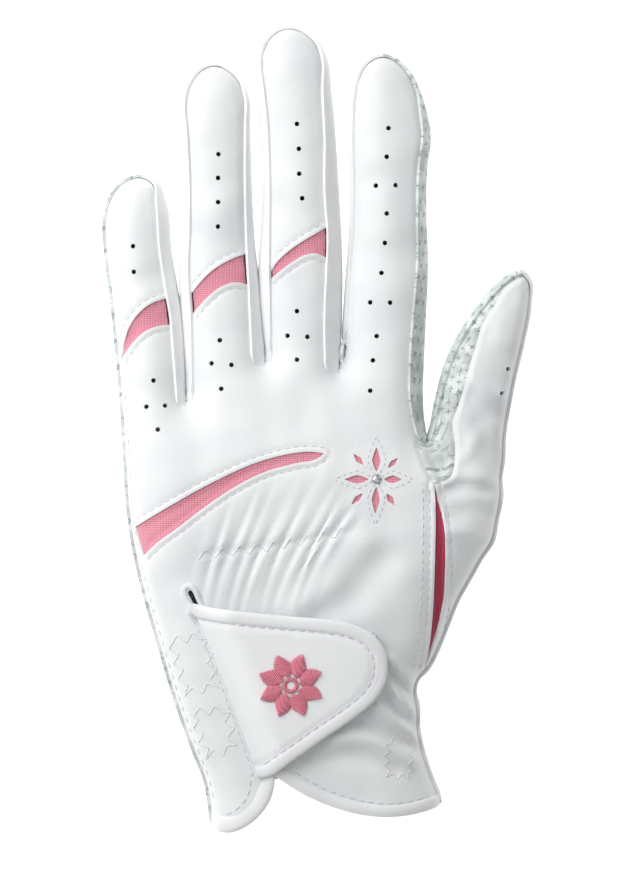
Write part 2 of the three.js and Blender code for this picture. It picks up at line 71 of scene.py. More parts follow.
# The glove's outline from the cuff's little-finger side round the fingertips to the cuff's thumb
# side, as [x, y, distance of the back leather's seam inside it].
LITTLE_OUTER = [
    [-28.0, -104.0, 0.15], [-29.7, -93, 0.15], [-33, -84.5, 0.15], [-37.1, -73, 0.15], [-41.9, -57, 0.15],
    [-45.3, -45, 0.15], [-48.2, -33, 0.15], [-50, -21, 0.15], [-51, -5.5, 0.15], [-52.3, 12, 0.15],
    [-53.6, 25, 0.15], [-55, 38, 0.15], [-56.2, 47, 0.15], [-56.3, 57, 0.15], [-54.6, 62.2, 0.15],
    [-51.2, 65.9, 0.15], [-46.8, 67, 0.15],
]
LITTLE_INNER = [
    [-42.8, 65.6, 1.2], [-40.9, 60, 2.3], [-39.6, 47, 2.6], [-38.1, 38, 2.7], [-36.6, 30, 2.8],
    [-35.8, 22, 2.9], [-35.6, 12, 2.4], [-35.4, 8.2, 2.4],
]
RING = [
    [-34.9, 7.3, 3.0], [-34.5, 8.2, 2.0], [-34.5, 13, 1.9], [-35.1, 22, 2.3], [-35.7, 31.5, 2.6],
    [-36.2, 42, 2.4], [-35.8, 53, 2.4], [-36.1, 67, 2.6], [-37.1, 78, 3.0], [-36.1, 88.5, 1.6],
    [-33.5, 93.3, 0.8], [-30.2, 96.1, 0.3], [-27.2, 96.8, 0.25], [-24.2, 95.7, 0.25], [-21, 92.8, 0.35],
    [-19.2, 88.5, 0.7], [-18.8, 80, 1.0], [-18.4, 66, 1.4], [-17.2, 46, 2.0], [-16.2, 38, 2.5],
    [-15.2, 27, 3.0], [-14.7, 21.5, 3.2], [-14.5, 18.8, 3.2],
]
MIDDLE = [
    [-14.0, 17.9, 3.2], [-13.6, 18.9, 2.0], [-14.0, 25, 2.0], [-14.9, 34, 2.7], [-15.1, 43, 2.7],
    [-14.5, 52, 2.2], [-14, 69, 1.7], [-14.9, 82, 2.0], [-16.2, 91.5, 2.2], [-15.9, 98, 1.2],
    [-13.8, 103, 0.5], [-10.5, 105.9, 0.25], [-7.2, 106.6, 0.25], [-3.7, 105.4, 0.25], [-0.3, 102.5, 0.5],
    [1.9, 98, 1.2], [2.9, 90, 2.1], [4, 77, 2.6], [4.8, 63.5, 3.4], [5.5, 50, 3.3], [5.7, 42, 3.8],
    [5.5, 29, 4.1], [5.2, 20, 3.7], [5.1, 16.8, 3.4],
]
INDEX = [
    [5.6, 15.8, 3.2], [6.2, 16.8, 1.4], [7.1, 27, 0.9], [8, 40, 0.8], [9, 53, 0.8], [9.1, 67, 0.9],
    [8.8, 81, 1.0], [9.6, 90, 0.8], [11.3, 95, 0.4], [14.2, 98.2, 0.25], [17.3, 99.1, 0.2],
    [20.4, 98.1, 0.25], [23.9, 94.8, 0.5], [26.5, 89.6, 0.8], [28.2, 84, 1.6], [29.2, 78, 2.0],
    [28.2, 69, 2.0], [28.0, 58, 2.2], [28.4, 44, 2.6], [27.9, 30, 3.2], [27.3, 18, 3.4], [27.0, 8, 3.2],
    [27.5, 1.5, 2.6], [28.2, -2.0, 2.0],
]
THUMB = [
    [28.8, -3.0, 1.6], [29.5, -1.6, 1.3], [31.6, 7.5, 1.2], [34.5, 18, 1.3], [38.7, 26.4, 1.3],
    [43, 32.8, 1.4], [48.3, 38.7, 1.4], [52, 41.3, 1.2], [54.5, 41.8, 1.0], [56.1, 39.6, 0.4],
    [56.1, 34, 0.2], [54.1, 23, 0.2], [51.6, 12.5, 0.2], [50.2, 5, 0.2], [49.1, -2, 0.2],
    [48.9, -8, 0.2], [48.1, -13, 0.2], [48.4, -17, 0.25], [47.1, -24, 0.25], [46, -29.5, 0.25],
    [43.2, -33.6, 0.25], [40.3, -38.8, 0.25], [36.7, -45.2, 0.25], [33.8, -52.5, 0.25], [31, -59.3, 0.25],
    [28.8, -63.3, 0.25], [26.2, -66.0, 0.25], [25.4, -69, 0.25], [26.3, -73, 0.25], [26.4, -79, 0.25],
    [27.9, -86, 0.25], [29.9, -92, 0.25], [31.7, -96.5, 0.25], [32.1, -98.8, 0.25],
]

# The cuff's edge: two lobes on the back with a notch between them, and one straighter edge below.
BACK_CUFF = [[31.0, -99.3], [28, -100.1], [20.5, -101.3], [12, -100.8], [3.4, -98.4], [-4.8, -94.5],
             [-10.4, -90.8], [-12.2, -89.9], [-13.2, -91.6], [-13.6, -95.2], [-15.4, -99.7],
             [-18.6, -103.2], [-22, -105.3], [-25, -106.0], [-26.6, -105.3]]
PALM_CUFF = [[30, -97.2], [22, -94], [10, -91.4], [-5, -91.4], [-17, -95], [-25.4, -101.6]]
NOTCH_X = -12.2

# Heights of the back's crest at values of y, and of the thumb's.
HAND_CREST = [[-112, 20], [-92, 20.5], [-78, 21.5], [-62, 23], [-45, 24.3], [-28, 24.6], [-12, 23.6],
              [0, 21.8], [12, 19], [25, 17]]
FINGER_SHARE = [[0.25, 1.0], [0.42, 0.95], [0.67, 0.88], [0.88, 0.8], [1.0, 0.74]]
THUMB_CREST = [[-27, 20], [-13, 19], [0, 18], [12, 17], [22.5, 16], [32.5, 13.5], [42, 11]]
HAND_ROUNDING = [[-30, 17], [0, 13.5], [22, 9.4]]    # reach of the rounded side at values of y
THUMB_ROUNDING = 8.6

# Each finger: its tip's y, its knuckle, its lean, the y at which its own pieces start and, but
# for the index finger, the knit band across its back as its lower and its upper edge.
FINGERS = {
    "little": {
        "tip": 66.8, "knuckle": [-45.8, 27], "lean": -0.0749, "start": 11,
        "lower": [[-56, 13], [-52.6, 17.5], [-50.4, 20.9], [-48.2, 23.6], [-45.3, 26.0], [-41.9, 27.3],
                  [-39.2, 27.6], [-36, 27.2]],
        "upper": [[-56, 14], [-52.4, 17.9], [-51.2, 23.2], [-49.6, 27.5], [-46.9, 31.0], [-44, 33.2],
                  [-41.1, 34.3], [-37, 35.2]],
    },
    "ring": {
        "tip": 96.8, "knuckle": [-26.4, 38.5], "lean": -0.0361, "start": 21,
        "lower": [[-37, 26.5], [-33.2, 30.4], [-31.8, 32.1], [-28.9, 35.1], [-25.4, 37.7],
                  [-21.7, 38.8], [-18.6, 38.2], [-15, 36.6]],
        "upper": [[-38, 30.5], [-34, 35.3], [-31.3, 38.6], [-28.1, 41.7], [-23.9, 44.4],
                  [-19.6, 46.2], [-15, 47.6]],
    },
    "middle": {
        "tip": 106.6, "knuckle": [-4.8, 47], "lean": -0.032, "start": 30,
        "lower": [[-16, 37.0], [-12.4, 39.9], [-9.5, 42.2], [-6.4, 44.4], [-3.4, 46.0], [-0.3, 46.4],
                  [2.0, 45.4], [6, 42.8]],
        "upper": [[-16, 37.6], [-12.6, 41.6], [-11.1, 43.9], [-8, 46.8], [-3.4, 50.0], [0, 52.0],
                  [3.0, 53.9], [7, 56.4]],
    },
    "index": {"tip": 99.1, "knuckle": [18.2, 42], "lean": 0.005, "start": 26},
}
# Where the gaps between the fingers lie: x at y = 20, and how far x moves per millimetre of y.
GAPS = [[-35.2, -0.065], [-14.2, -0.04], [5.9, 0.0]]

# Seams on the thumb side, from the cuff up.
SIDE_SEAM = [[27.9, -63.6], [29.1, -58], [30.0, -50], [30.4, -42], [30.7, -30], [30.8, -22],
             [30.5, -14.3]]
GUSSET_RIGHT = [[27.9, -63.6], [29.9, -58.6], [31.9, -52], [33.2, -45], [33.5, -36], [33.0, -26],
                [31.9, -19.5], [30.5, -14.3]]
INDEX_SEAM_END = [[30.5, -14.3], [27.8, -9.4], [26.0, -4.0]]
THUMB_SEAM = [[31.2, -14.3], [34.6, -12.6], [36.0, -7.4], [36.0, -2.8], [35.4, 1.8], [36.5, 5.0],
              [38.3, 10.5], [39.6, 15.6], [41.7, 22.2], [43.5, 28.0], [47.0, 33.4], [49.0, 37.3],
              [54.4, 40.7]]
THUMB_CREASE_Y = -14.3

# Openings cut in the back leather.
WINDOW_TOP = [[-48.2, -25.6], [-39, -20.2], [-26.8, -13.5], [-16.6, -8.9], [-8.5, -6.6],
              [-1.2, -5.9], [1.6, -6.3]]
WINDOW_BOTTOM = [[1.6, -6.3], [0.6, -7.2], [-6.4, -9.0], [-13.3, -10.9], [-20.7, -14.4],
                 [-29.9, -20.5], [-36.8, -25.8], [-42.9, -30.3], [-46.0, -33.4]]
FLOWER = [15.3, -13.1]
# Petals as [direction in degrees, inner end, outer end, half width].
PETALS = [[90, 2.1, 8.3, 1.15], [0, 2.1, 6.5, 1.1], [180, 2.1, 8.2, 1.15], [268, 2.1, 8.8, 1.1],
          [132, 5.2, 8.9, 0.75], [45, 4.4, 7.8, 0.7], [225, 5.3, 9.2, 0.7], [305, 4.7, 8.1, 0.85]]
PERFORATIONS = {
    "hand": [[-45.2, 6.0], [-40.2, 6.3], [-42.1, 0.0], [-28.1, 17.4], [-22.8, 17.0],
             [-25.5, 10.7], [-8.1, 24.7], [-2.8, 24.4], [-5.6, 18.4], [14.4, 18.2], [13.7, 10.2],
             [15.4, 24.6]],
    "little": [[-48.9, 48.4], [-48.7, 41.6], [-43.3, 12.9]],
    "ring": [[-26.3, 72.7], [-26.4, 66.4], [-26.4, 60], [-26.4, 53.5], [-25.9, 23.5]],
    "middle": [[-5.6, 80.7], [-5.1, 74.1], [-5, 67.5], [-4.2, 61], [-5.6, 31.2]],
    "index": [[18.6, 79.6], [18.1, 72], [15.2, 64.4], [20.5, 64.5], [18.1, 57], [17.6, 49.2],
              [16.7, 41.3], [13.7, 33.5], [19, 33.4]],
    "thumb": [[50.3, 15.9], [48.6, 9.5]],
}
SLIT = [[-34.1, -42.6], [-33.5, -42.0], [-32.8, -42.7], [-31.9, -44.6], [-30.4, -47.2],
        [-10.6, -86.6], [-11.4, -89.9], [-12.2, -91.4], [-13.2, -90.4], [-14.4, -87], [-31.9, -47.0],
        [-33.4, -44.4]]
SLIT_ROLL = [[-30.3, -46.6], [-31.4, -44.0], [-32.5, -41.7], [-33.7, -40.9], [-34.9, -41.5],
             [-35.0, -43.0], [-34.2, -45.0], [-32.6, -47.6]]

# The closing tab: its root from top to bottom, and the rest of its edge.
TAB_ROOT = [[-33.3, -45.4], [-25.9, -62.9], [-19.1, -81.5], [-15.6, -91.6]]
TAB_EDGE = [[-33.3, -45.4], [-27.6, -46.6], [-19.1, -47.7], [-7.8, -48.8], [2.4, -49.7], [9.2, -51.0],
            [14.3, -53.6], [17.4, -57.8], [18.1, -62.4], [17.3, -66.8], [14.8, -70.8], [9.2, -75.6],
            [0.7, -81.5], [-7.8, -87.5], [-12.9, -91.0], [-15.6, -91.6]]
TAB_THICKNESS = 1.1
TAB_LIFT = [0.25, 2.9]         # height of the tab's underside over the back, at its root and beyond
TAB_ROLL = [1.75, 0.6]       # half width and half height of its rolled edge
# The rolled edge of each half of the cuff, as [half width, half height, shift of its middle up the hand].
CUFF_ROLLS = {"little_side": [2.3, 0.7, 1.7], "thumb_side": [1.6, 0.7, 1.0]}
EMBLEM = [-7.2, -66.9]
PETAL_COUNT = 8
STRAND_COUNT = 13         # satin stitches in a petal of the rosette
GATHER_LINE = [[-31.5, -32.9], [-12.5, -30.6], [6.2, -27.0]]
GATHER_PITCH = 4.6
# Corners of the two zigzag outlines sewn on the little-finger flap of the cuff.
FLAP_PATCHES = [[[-38.8, -55.5], [-30.0, -53.8], [-26.6, -67.0], [-34.6, -69.5]],
                [[-33.0, -74.5], [-24.2, -73.2], [-22.2, -83.6], [-29.4, -86.0]]]

# Soft folds in the back leather: [width, height, points of the fold's crest].
FOLDS = [
    [1.6, 1.5, [[19.5, -60.5], [23.0, -65.0], [26.0, -68.0]]],
    [1.3, -1.5, [[19.5, -64.0], [23.0, -68.6], [26.0, -71.6]]],
    [1.5, 1.6, [[19.0, -67.0], [22.5, -71.8], [26.3, -75.0]]],
    [1.3, -1.5, [[18.5, -70.5], [22.0, -75.0], [26.6, -78.4]]],
    [1.5, 1.5, [[15.5, -72.6], [20.5, -77.0], [27.0, -81.6]]],
    [1.5, -1.3, [[11.0, -76.6], [18.0, -79.4], [26.8, -84.8]]],
    [2.2, 1.2, [[5.0, -81.0], [14.0, -81.4], [24.0, -87.0]]],
    [2.4, -0.9, [[-2.0, -87.0], [9.0, -85.8], [20.0, -89.5]]],
    [4.0, 0.8, [[12.0, -30.0], [4.0, -40.0], [-6.0, -48.0]]],
    [4.2, -0.7, [[17.0, -34.0], [8.0, -44.0], [-2.0, -50.0]]],
    [4.5, 0.5, [[22.0, -40.0], [14.0, -48.0], [4.0, -53.0]]],
    [2.0, 1.0, [[33.5, -13.2], [38.5, -11.8], [43.0, -12.8]]],
    [1.7, -1.0, [[34.5, -15.8], [40.0, -15.4], [45.5, -16.4]]],
    [1.8, 0.7, [[35.5, -9.5], [39.0, -7.0], [41.5, -2.5]]],
    [2.6, -0.9, [[36.0, -22.0], [42.0, -21.0], [47.0, -22.5]]],
    [2.0, 0.8, [[34.5, -27.0], [40.0, -27.5], [45.0, -30.0]]],
    [2.4, -1.1, [[40.0, 8.0], [45.0, 4.5], [50.0, 3.4]]],
    [2.2, 0.9, [[41.0, 13.0], [46.0, 9.5], [51.0, 8.8]]],
    [2.6, -0.9, [[42.0, 1.0], [45.0, -4.0], [47.5, -8.0]]],
    [2.6, -0.8, [[44.5, 24.0], [49.0, 20.5], [53.5, 19.5]]],
    [4.0, -0.6, [[-54.0, 40.0], [-48.0, 38.5], [-41.0, 41.0]]],
    [4.5, -0.6, [[-33.0, 50.5], [-27.0, 48.0], [-20.0, 50.0]]],
    [4.5, 0.5, [[-34.0, 57.5], [-29.0, 56.0], [-23.0, 60.0]]],
    [4.5, -0.6, [[-12.0, 58.5], [-6.0, 56.0], [0.0, 57.5]]],
    [4.5, -0.5, [[-12.0, 36.5], [-6.0, 37.5], [0.0, 35.0]]],
    [5.0, -0.6, [[9.0, 48.0], [17.0, 45.0], [26.0, 47.0]]],
    [4.5, 0.4, [[9.0, 38.5], [17.0, 37.0], [25.0, 38.0]]],
    [4.0, -0.5, [[10.0, 64.0], [18.0, 66.0], [25.0, 64.0]]],
    [6.0, 0.6, [[-44.0, -38.0], [-38.0, -30.0], [-30.0, -26.0]]],
    [5.0, -0.6, [[-46.0, 8.0], [-38.0, 0.0], [-30.0, -3.0]]],
    [6.0, -0.5, [[-28.0, 4.0], [-16.0, 2.0], [-6.0, 5.0]]],
    [6.0, -0.4, [[-2.0, 4.0], [8.0, 0.0], [20.0, 2.0]]],
]
PALM_FOLDS = [
    [2.0, 1.3, [[-52, 3], [-38, -1], [-22, 4], [-6, 6], [8, 4]]],
    [2.0, 1.2, [[26, -2], [12, -4], [-2, -14], [-12, -32], [-16, -56]]],
    [2.4, 0.8, [[24, -14], [10, -20], [-16, -22], [-44, -16]]],
    [2.0, 0.7, [[-48, -36], [-34, -40], [-20, -52]]],
    [1.6, 0.8, [[-54, 28], [-46, 27], [-38, 28]]],
    [1.6, 0.8, [[-35, 39], [-26, 38.5], [-17, 39]]],
    [1.6, 0.8, [[-14, 47], [-5, 47], [5, 47]]],
    [1.6, 0.8, [[9, 42], [18, 42], [28, 42]]],
    [1.6, 0.8, [[-55, 48], [-48, 47.5], [-41, 48]]],
    [1.6, 0.8, [[-35, 66], [-27, 65.5], [-19, 66]]],
    [1.6, 0.8, [[-13, 75], [-5, 74.5], [3, 75]]],
    [1.6, 0.8, [[10, 70], [18, 69.5], [27, 70]]],
    [1.8, 0.9, [[33, 8], [40, 6], [50, 8]]],
]


# ---- Plan curves -----------------------------------------------------------------------
def smooth_step(value):
    t = np.clip(value, 0.0, 1.0)
    return t * t * (3 - 2 * t)


def curve(points, step=STEP, closed=False):
    """Points along a smooth curve through rows of numbers, whose first two columns are x and y."""
    p = np.array(points, float)
    if closed:
        p = np.vstack([p, p[:1]])
    gaps = np.linalg.norm(np.diff(p[:, :2], axis=0), axis=1)[:, None]
    slopes = np.diff(p, axis=0) / gaps
    tangents = np.vstack([slopes[:1], slopes[-1:]])
    if closed:
        joint = (slopes[-1:] * gaps[:1] + slopes[:1] * gaps[-1:]) / (gaps[:1] + gaps[-1:])
        tangents = np.vstack([joint, joint])
    inner = (slopes[:-1] * gaps[1:] + slopes[1:] * gaps[:-1]) / (gaps[1:] + gaps[:-1])
    tangents = np.vstack([tangents[:1], inner, tangents[1:]])
    rows = []
    for k, gap in enumerate(gaps[:, 0]):
        count = max(2, math.ceil(gap / step))
        t = (np.arange(count) / count)[:, None]
        rows.append((2 * t**3 - 3 * t**2 + 1) * p[k] + (t**3 - 2 * t**2 + t) * gap * tangents[k]
                    + (3 * t**2 - 2 * t**3) * p[k + 1] + (t**3 - t**2) * gap * tangents[k + 1])
    if not closed:
        rows.append(p[-1:])
    return np.vstack(rows)


def closed_loop(path):
    return np.vstack([path, path[:1]])


def inward_normals(path):
    """Unit vectors to the right of the way along a path."""
    ahead = np.gradient(path[:, :2], axis=0)
    ahead /= np.linalg.norm(ahead, axis=1)[:, None]
    return np.column_stack([ahead[:, 1], -ahead[:, 0]])


def beside(path, distance):
    """The path moved to its right by a distance."""
    return path[:, :2] + inward_normals(path) * distance


def resample(path, step):
    """A polyline's points at even steps."""
    along = np.concatenate([[0], np.cumsum(np.linalg.norm(np.diff(path, axis=0), axis=1))])
    count = max(2, int(round(along[-1] / step)) + 1)
    places = np.linspace(0, along[-1], count)
    return np.column_stack([np.interp(places, along, column) for column in path.T])


def soften(path, rounds):
    """The path with every inner point drawn towards its neighbours."""
    path = path.copy()
    for _ in range(rounds):
        path[1:-1] = path[1:-1] * 0.5 + (path[:-2] + path[2:]) * 0.25
    return path


def distance_to(points, path):
    """Distance from each point to a polyline, both in plan."""
    best = np.full(len(points), np.inf)
    for start, end in zip(path[:-1, :2], path[1:, :2]):
        way = end - start
        share = np.clip((points - start) @ way / max(way @ way, 1e-9), 0, 1)
        away = points - start - share[:, None] * way
        best = np.minimum(best, np.einsum("ij,ij->i", away, away))
    return np.sqrt(best)


def inside(points, outline):
    """Which points lie inside a closed outline."""
    found = np.zeros(len(points), bool)
    x, y = points.T
    for (x0, y0), (x1, y1) in zip(outline[:, :2], np.roll(outline[:, :2], -1, axis=0)):
        if y0 != y1:
            crosses = (y0 > y) != (y1 > y)
            found ^= crosses & (x < (x1 - x0) * (y - y0) / (y1 - y0) + x0)
    return found


def circle(centre, radius, count):
    angles = 2 * math.pi * np.arange(count) / count
    return np.column_stack([centre[0] + radius * np.cos(angles), centre[1] + radius * np.sin(angles)])


# ---- Outlines worked out from the dimensions -------------------------------------------
EDGE = curve(LITTLE_OUTER + LITTLE_INNER + RING + MIDDLE + INDEX + THUMB)
BACK_SEAM = soften(EDGE[:, :2] + inward_normals(EDGE) * EDGE[:, 2:3], 4)
PALM_SEAM = beside(EDGE, PALM_INSET)
BACK_OUTLINE = np.vstack([BACK_SEAM, curve(BACK_CUFF)])
PALM_OUTLINE = np.vstack([PALM_SEAM, curve(PALM_CUFF)])
EDGE_OUTLINE = np.vstack([EDGE[:, :2], curve(BACK_CUFF)])
WINDOW = np.vstack([curve(WINDOW_TOP, 0.9)[:-1], curve(WINDOW_BOTTOM, 0.9)])


def edge_place(x, y):
    """The place along EDGE nearest to a point."""
    return int(np.argmin(np.hypot(EDGE[:, 0] - x, EDGE[:, 1] - y)))


def finger_span(name):
    """Where a finger's own pieces start and end along EDGE."""
    sides = {
        "little": (LITTLE_OUTER, LITTLE_INNER), "ring": (RING[:12], RING[12:]),
        "middle": (MIDDLE[:12], MIDDLE[12:]), "index": (INDEX[:10], INDEX[10:]),
    }[name]
    y = FINGERS[name]["start"]
    places = []
    for side in sides:
        ordered = sorted(side, key=lambda row: row[1])
        x = np.interp(y, [row[1] for row in ordered], [row[0] for row in ordered])
        places.append(edge_place(x, y))
    return places


SPANS = {name: finger_span(name) for name in FINGERS}
SPANS["thumb"] = [edge_place(*THUMB[0][:2]), edge_place(48.2, THUMB_CREASE_Y)]
# The place of each fingertip along EDGE, where its two side walls meet.
TIPS = {"little": edge_place(-46.8, 67), "ring": edge_place(-27.2, 96.8),
        "middle": edge_place(-7.2, 106.6), "index": edge_place(17.3, 99.1),
        "thumb": edge_place(54.5, 41.8)}
WRIST_PLACE = edge_place(27.9, -64.2)


def petal_outline(row, grow=0.0):
    """A petal's diamond, with its sides bowed outwards a little."""
    degrees, inner, outer, half = row
    angle = math.radians(degrees)
    along = np.array([math.cos(angle), math.sin(angle)])
    across = np.array([-along[1], along[0]])
    widest = inner + (outer - inner) * 0.48
    start, end = inner - grow, outer + grow * 2.2
    side = [(start, 0.12), ((start + widest) / 2, (half + grow) * 0.66), (widest, half + grow),
            ((end + widest) / 2, (half + grow) * 0.6), (end, 0.08)]
    rows = side + [(a, -b) for a, b in reversed(side)]
    return np.array([np.array(FLOWER) + a * along + b * across for a, b in rows])


# ---- The back's height -----------------------------------------------------------------
def table(rows, value):
    rows = np.array(rows, float)
    return np.interp(value, rows[:, 0], rows[:, 1])


def thumb_share(x, y):
    return smooth_step((y + 24) / 18) * smooth_step((x - 28.5) / 5)


def crest(x, y):
    """The height of the back's crest over the floor."""
    tips = np.full(len(x), FINGERS["little"]["tip"])
    for (gap, drift), name in zip(GAPS, ("ring", "middle", "index")):
        tips = np.where(x > gap + drift * (y - 20), FINGERS[name]["tip"], tips)
    height = table(HAND_CREST, y) * table(FINGER_SHARE, y / tips)
    share = thumb_share(x, y)
    return height * (1 - share) + table(THUMB_CREST, y) * share


def rounding(x, y):
    """How far in from the outline the back keeps rising."""
    share = thumb_share(x, y)
    return table(HAND_ROUNDING, y) * (1 - share) + THUMB_ROUNDING * share


def profile(t):
    """The rise of a rounded side: 0 at the outline and 1 from the end of its rounding."""
    return (1 - (1 - np.clip(t, 0, 1)) ** SQUARENESS) ** (1 / SQUARENESS)


def plain_height(points, away):
    x, y = points.T
    top = crest(x, y)
    middle = (top - 1) / 2
    return middle + (top - middle) * profile(away / rounding(x, y))


def blurred_grid(spacing=1.0, radius=2.2):
    """The back's height on a square grid, smoothed."""
    xs = np.arange(-62, 63, spacing)
    ys = np.arange(-112, 112, spacing)
    points = np.array([[x, y] for y in ys for x in xs])
    mask = inside(points, EDGE_OUTLINE).astype(float)
    heights = plain_height(points, distance_to(points, EDGE)) * mask
    reach = np.arange(-8, 9) * spacing
    kernel = np.exp(-0.5 * (reach / radius) ** 2)
    layers = []
    for values in (heights, mask):
        image = values.reshape(len(ys), len(xs))
        image = np.apply_along_axis(np.convolve, 0, image, kernel, mode="same")
        layers.append(np.apply_along_axis(np.convolve, 1, image, kernel, mode="same"))
    return xs, ys, layers[0] / np.maximum(layers[1], 1e-6)


GRID = blurred_grid()


def sample_grid(points):
    xs, ys, image = GRID
    column = np.clip((points[:, 0] - xs[0]) / (xs[1] - xs[0]), 0, len(xs) - 1.001)
    row = np.clip((points[:, 1] - ys[0]) / (ys[1] - ys[0]), 0, len(ys) - 1.001)
    c, r = column.astype(int), row.astype(int)
    u, v = column - c, row - r
    low = image[r, c] * (1 - u) + image[r, c + 1] * u
    high = image[r + 1, c] * (1 - u) + image[r + 1, c + 1] * u
    return low * (1 - v) + high * v


def ground(points):
    """The back's smooth height, before seams and folds, and the distance from the outline."""
    away = distance_to(points, EDGE)
    share = smooth_step((away - 1.5) / 3.5)
    return plain_height(points, away) * (1 - share) + sample_grid(points) * share, away


def bell(distance, width):
    return np.exp(-(distance / width) ** 2)


GATHER_PATH = resample(curve(GATHER_LINE), 0.5)
WINDOW_LOWER_EDGE = curve(WINDOW_BOTTOM)[::-1]


def gathers(points):
    """The folds that the elastic draws across the back."""
    x, y = points.T
    above = y - np.interp(x, GATHER_PATH[:, 0], GATHER_PATH[:, 1])
    slant = 0.52 + 0.010 * (x + 12)
    across = x - slant * np.clip(above, -16, 16) + 0.012 * above**2 * np.sign(above) * 0.4
    phase = 2 * math.pi * (across + 31.5) / GATHER_PITCH
    phase += 0.7 * np.sin(across * 0.31) + 0.5 * np.sin(0.13 * above + 0.7 * across)
    ends = smooth_step((across + 33) / 5) * smooth_step((12 - across) / 7)
    upper = np.exp(-np.clip(above, 0, None) / 7.0)
    lower = np.exp(-np.clip(-above, 0, None) / 9.5)
    wave = np.sin(phase) + 0.32 * np.sin(2 * phase + 0.6)
    pinch = 1 - 0.45 * bell(above, 1.3)
    below_window = np.interp(x, WINDOW_LOWER_EDGE[:, 0], WINDOW_LOWER_EDGE[:, 1]) - y
    from_flower = np.hypot(x - FLOWER[0], y - FLOWER[1])
    clear = smooth_step((below_window - 1.2) / 4.5) * smooth_step((from_flower - 8) / 6)
    uneven = 0.75 + 0.45 * np.sin(0.83 * across + 0.7) * np.sin(0.37 * across + 0.15 * y)
    rise = ends * upper * lower * pinch * wave * 0.6 * clear * uneven
    return rise - ends * 0.35 * bell(above, 1.1)


def edge_roll(away):
    """A cut or turned leather edge: a soft roll, then the dip that its stitches pull."""
    return 0.2 * bell(away - 0.55, 0.5) - 0.24 * bell(away - 1.5, 0.4)


def waviness(points):
    x, y = points.T
    return (0.16 * np.sin(0.19 * x + 0.11 * y + 0.7) * np.sin(0.13 * y - 0.07 * x + 1.1)
            + 0.10 * np.sin(0.41 * x - 0.29 * y) * np.sin(0.33 * y + 0.23 * x + 2.0))


SOFT_FOLDS = [(width, height, curve(points, 1.6)) for width, height, points in FOLDS]
PALM_CREASES = [(width, height, curve(points, 2.0)) for width, height, points in PALM_FOLDS]
BANDS = {
    name: (curve(finger["lower"], 0.9), curve(finger["upper"], 0.9))
    for name, finger in FINGERS.items() if "lower" in finger
}
# The lengths of the back's seam on which a side strip or the palm is sewn well inside the outline.
STRIP_SEAMS = [
    BACK_SEAM[edge_place(-42.8, 65.6):edge_place(-21, 92.8)],
    BACK_SEAM[edge_place(-19.2, 82):edge_place(-13.8, 103)],
    BACK_SEAM[edge_place(1.0, 101):edge_place(9.6, 90)],
    BACK_SEAM[edge_place(28.2, 84):edge_place(28.2, -2)],
]
LEFT_SEAM = curve(SIDE_SEAM, 0.9)
RIGHT_SEAM = curve(GUSSET_RIGHT, 0.9)
WEB_SEAM = np.vstack([curve(INDEX_SEAM_END, 0.9), BACK_SEAM[[SPANS["thumb"][0] - 2]]])
THUMB_LINE = curve(THUMB_SEAM, 0.9)
CREASE = np.array([[30.5, THUMB_CREASE_Y], [50.5, THUMB_CREASE_Y]])


def relief(points):
    """What seams, gathers and folds add to the smooth height."""
    total = waviness(points) + gathers(points)
    for width, height, path in SOFT_FOLDS:
        total += height * bell(distance_to(points, path), width)
    for path in STRIP_SEAMS:
        total -= 0.13 * bell(distance_to(points, path), 0.45)
    total += edge_roll(distance_to(points, closed_loop(WINDOW)))
    for lower, upper in BANDS.values():
        total += edge_roll(distance_to(points, lower)) + edge_roll(distance_to(points, upper))
    for path in (LEFT_SEAM, RIGHT_SEAM):
        total += edge_roll(distance_to(points, path))
    for path in (THUMB_LINE, WEB_SEAM):
        away = distance_to(points, path)
        total += 0.14 * bell(away - 1.2, 0.7) - 0.4 * bell(away, 0.5)
    for row in PETALS:
        total += 0.12 * bell(distance_to(points, closed_loop(petal_outline(row))) - 0.5, 0.4)
    return total


def surface(points):
    base, away = ground(points)
    fade = smooth_step(away / 2.5)
    return base + relief(points) * (0.35 + 0.65 * fade)


def palm_surface(points):
    away = distance_to(points, EDGE)
    x, y = points.T
    middle = (crest(x, y) - 1) / 2
    height = middle * (1 - profile(away / 9.0))
    for width, rise, path in PALM_CREASES:
        height += rise * bell(distance_to(points, path), width) * smooth_step(away / 4)
    hollow = 1.6 * bell(x + 8, 20) * bell(y + 34, 26)
    return height + hollow * smooth_step((away - 6) / 10)


# ---- Meshes from plan outlines ---------------------------------------------------------
def hex_points(low, high, step):
    rows = []
    for k, y in enumerate(np.arange(low[1], high[1], step * 0.866)):
        xs = np.arange(low[0] + (k % 2) * step / 2, high[0], step)
        rows.append(np.column_stack([xs, np.full(len(xs), y)]))
    return np.vstack(rows)


def thin_out(points, others, spacing):
    """Drops the points that lie nearer than a spacing to any of the others."""
    cells = {}
    for place in others:
        cells.setdefault((int(place[0] // spacing), int(place[1] // spacing)), []).append(place)
    kept = []
    for place in points:
        column, row = int(place[0] // spacing), int(place[1] // spacing)
        near = (q for i in (-1, 0, 1) for j in (-1, 0, 1) for q in cells.get((column + i, row + j), ()))
        if all((q[0] - place[0]) ** 2 + (q[1] - place[1]) ** 2 > spacing**2 for q in near):
            kept.append(place)
    return np.array(kept)


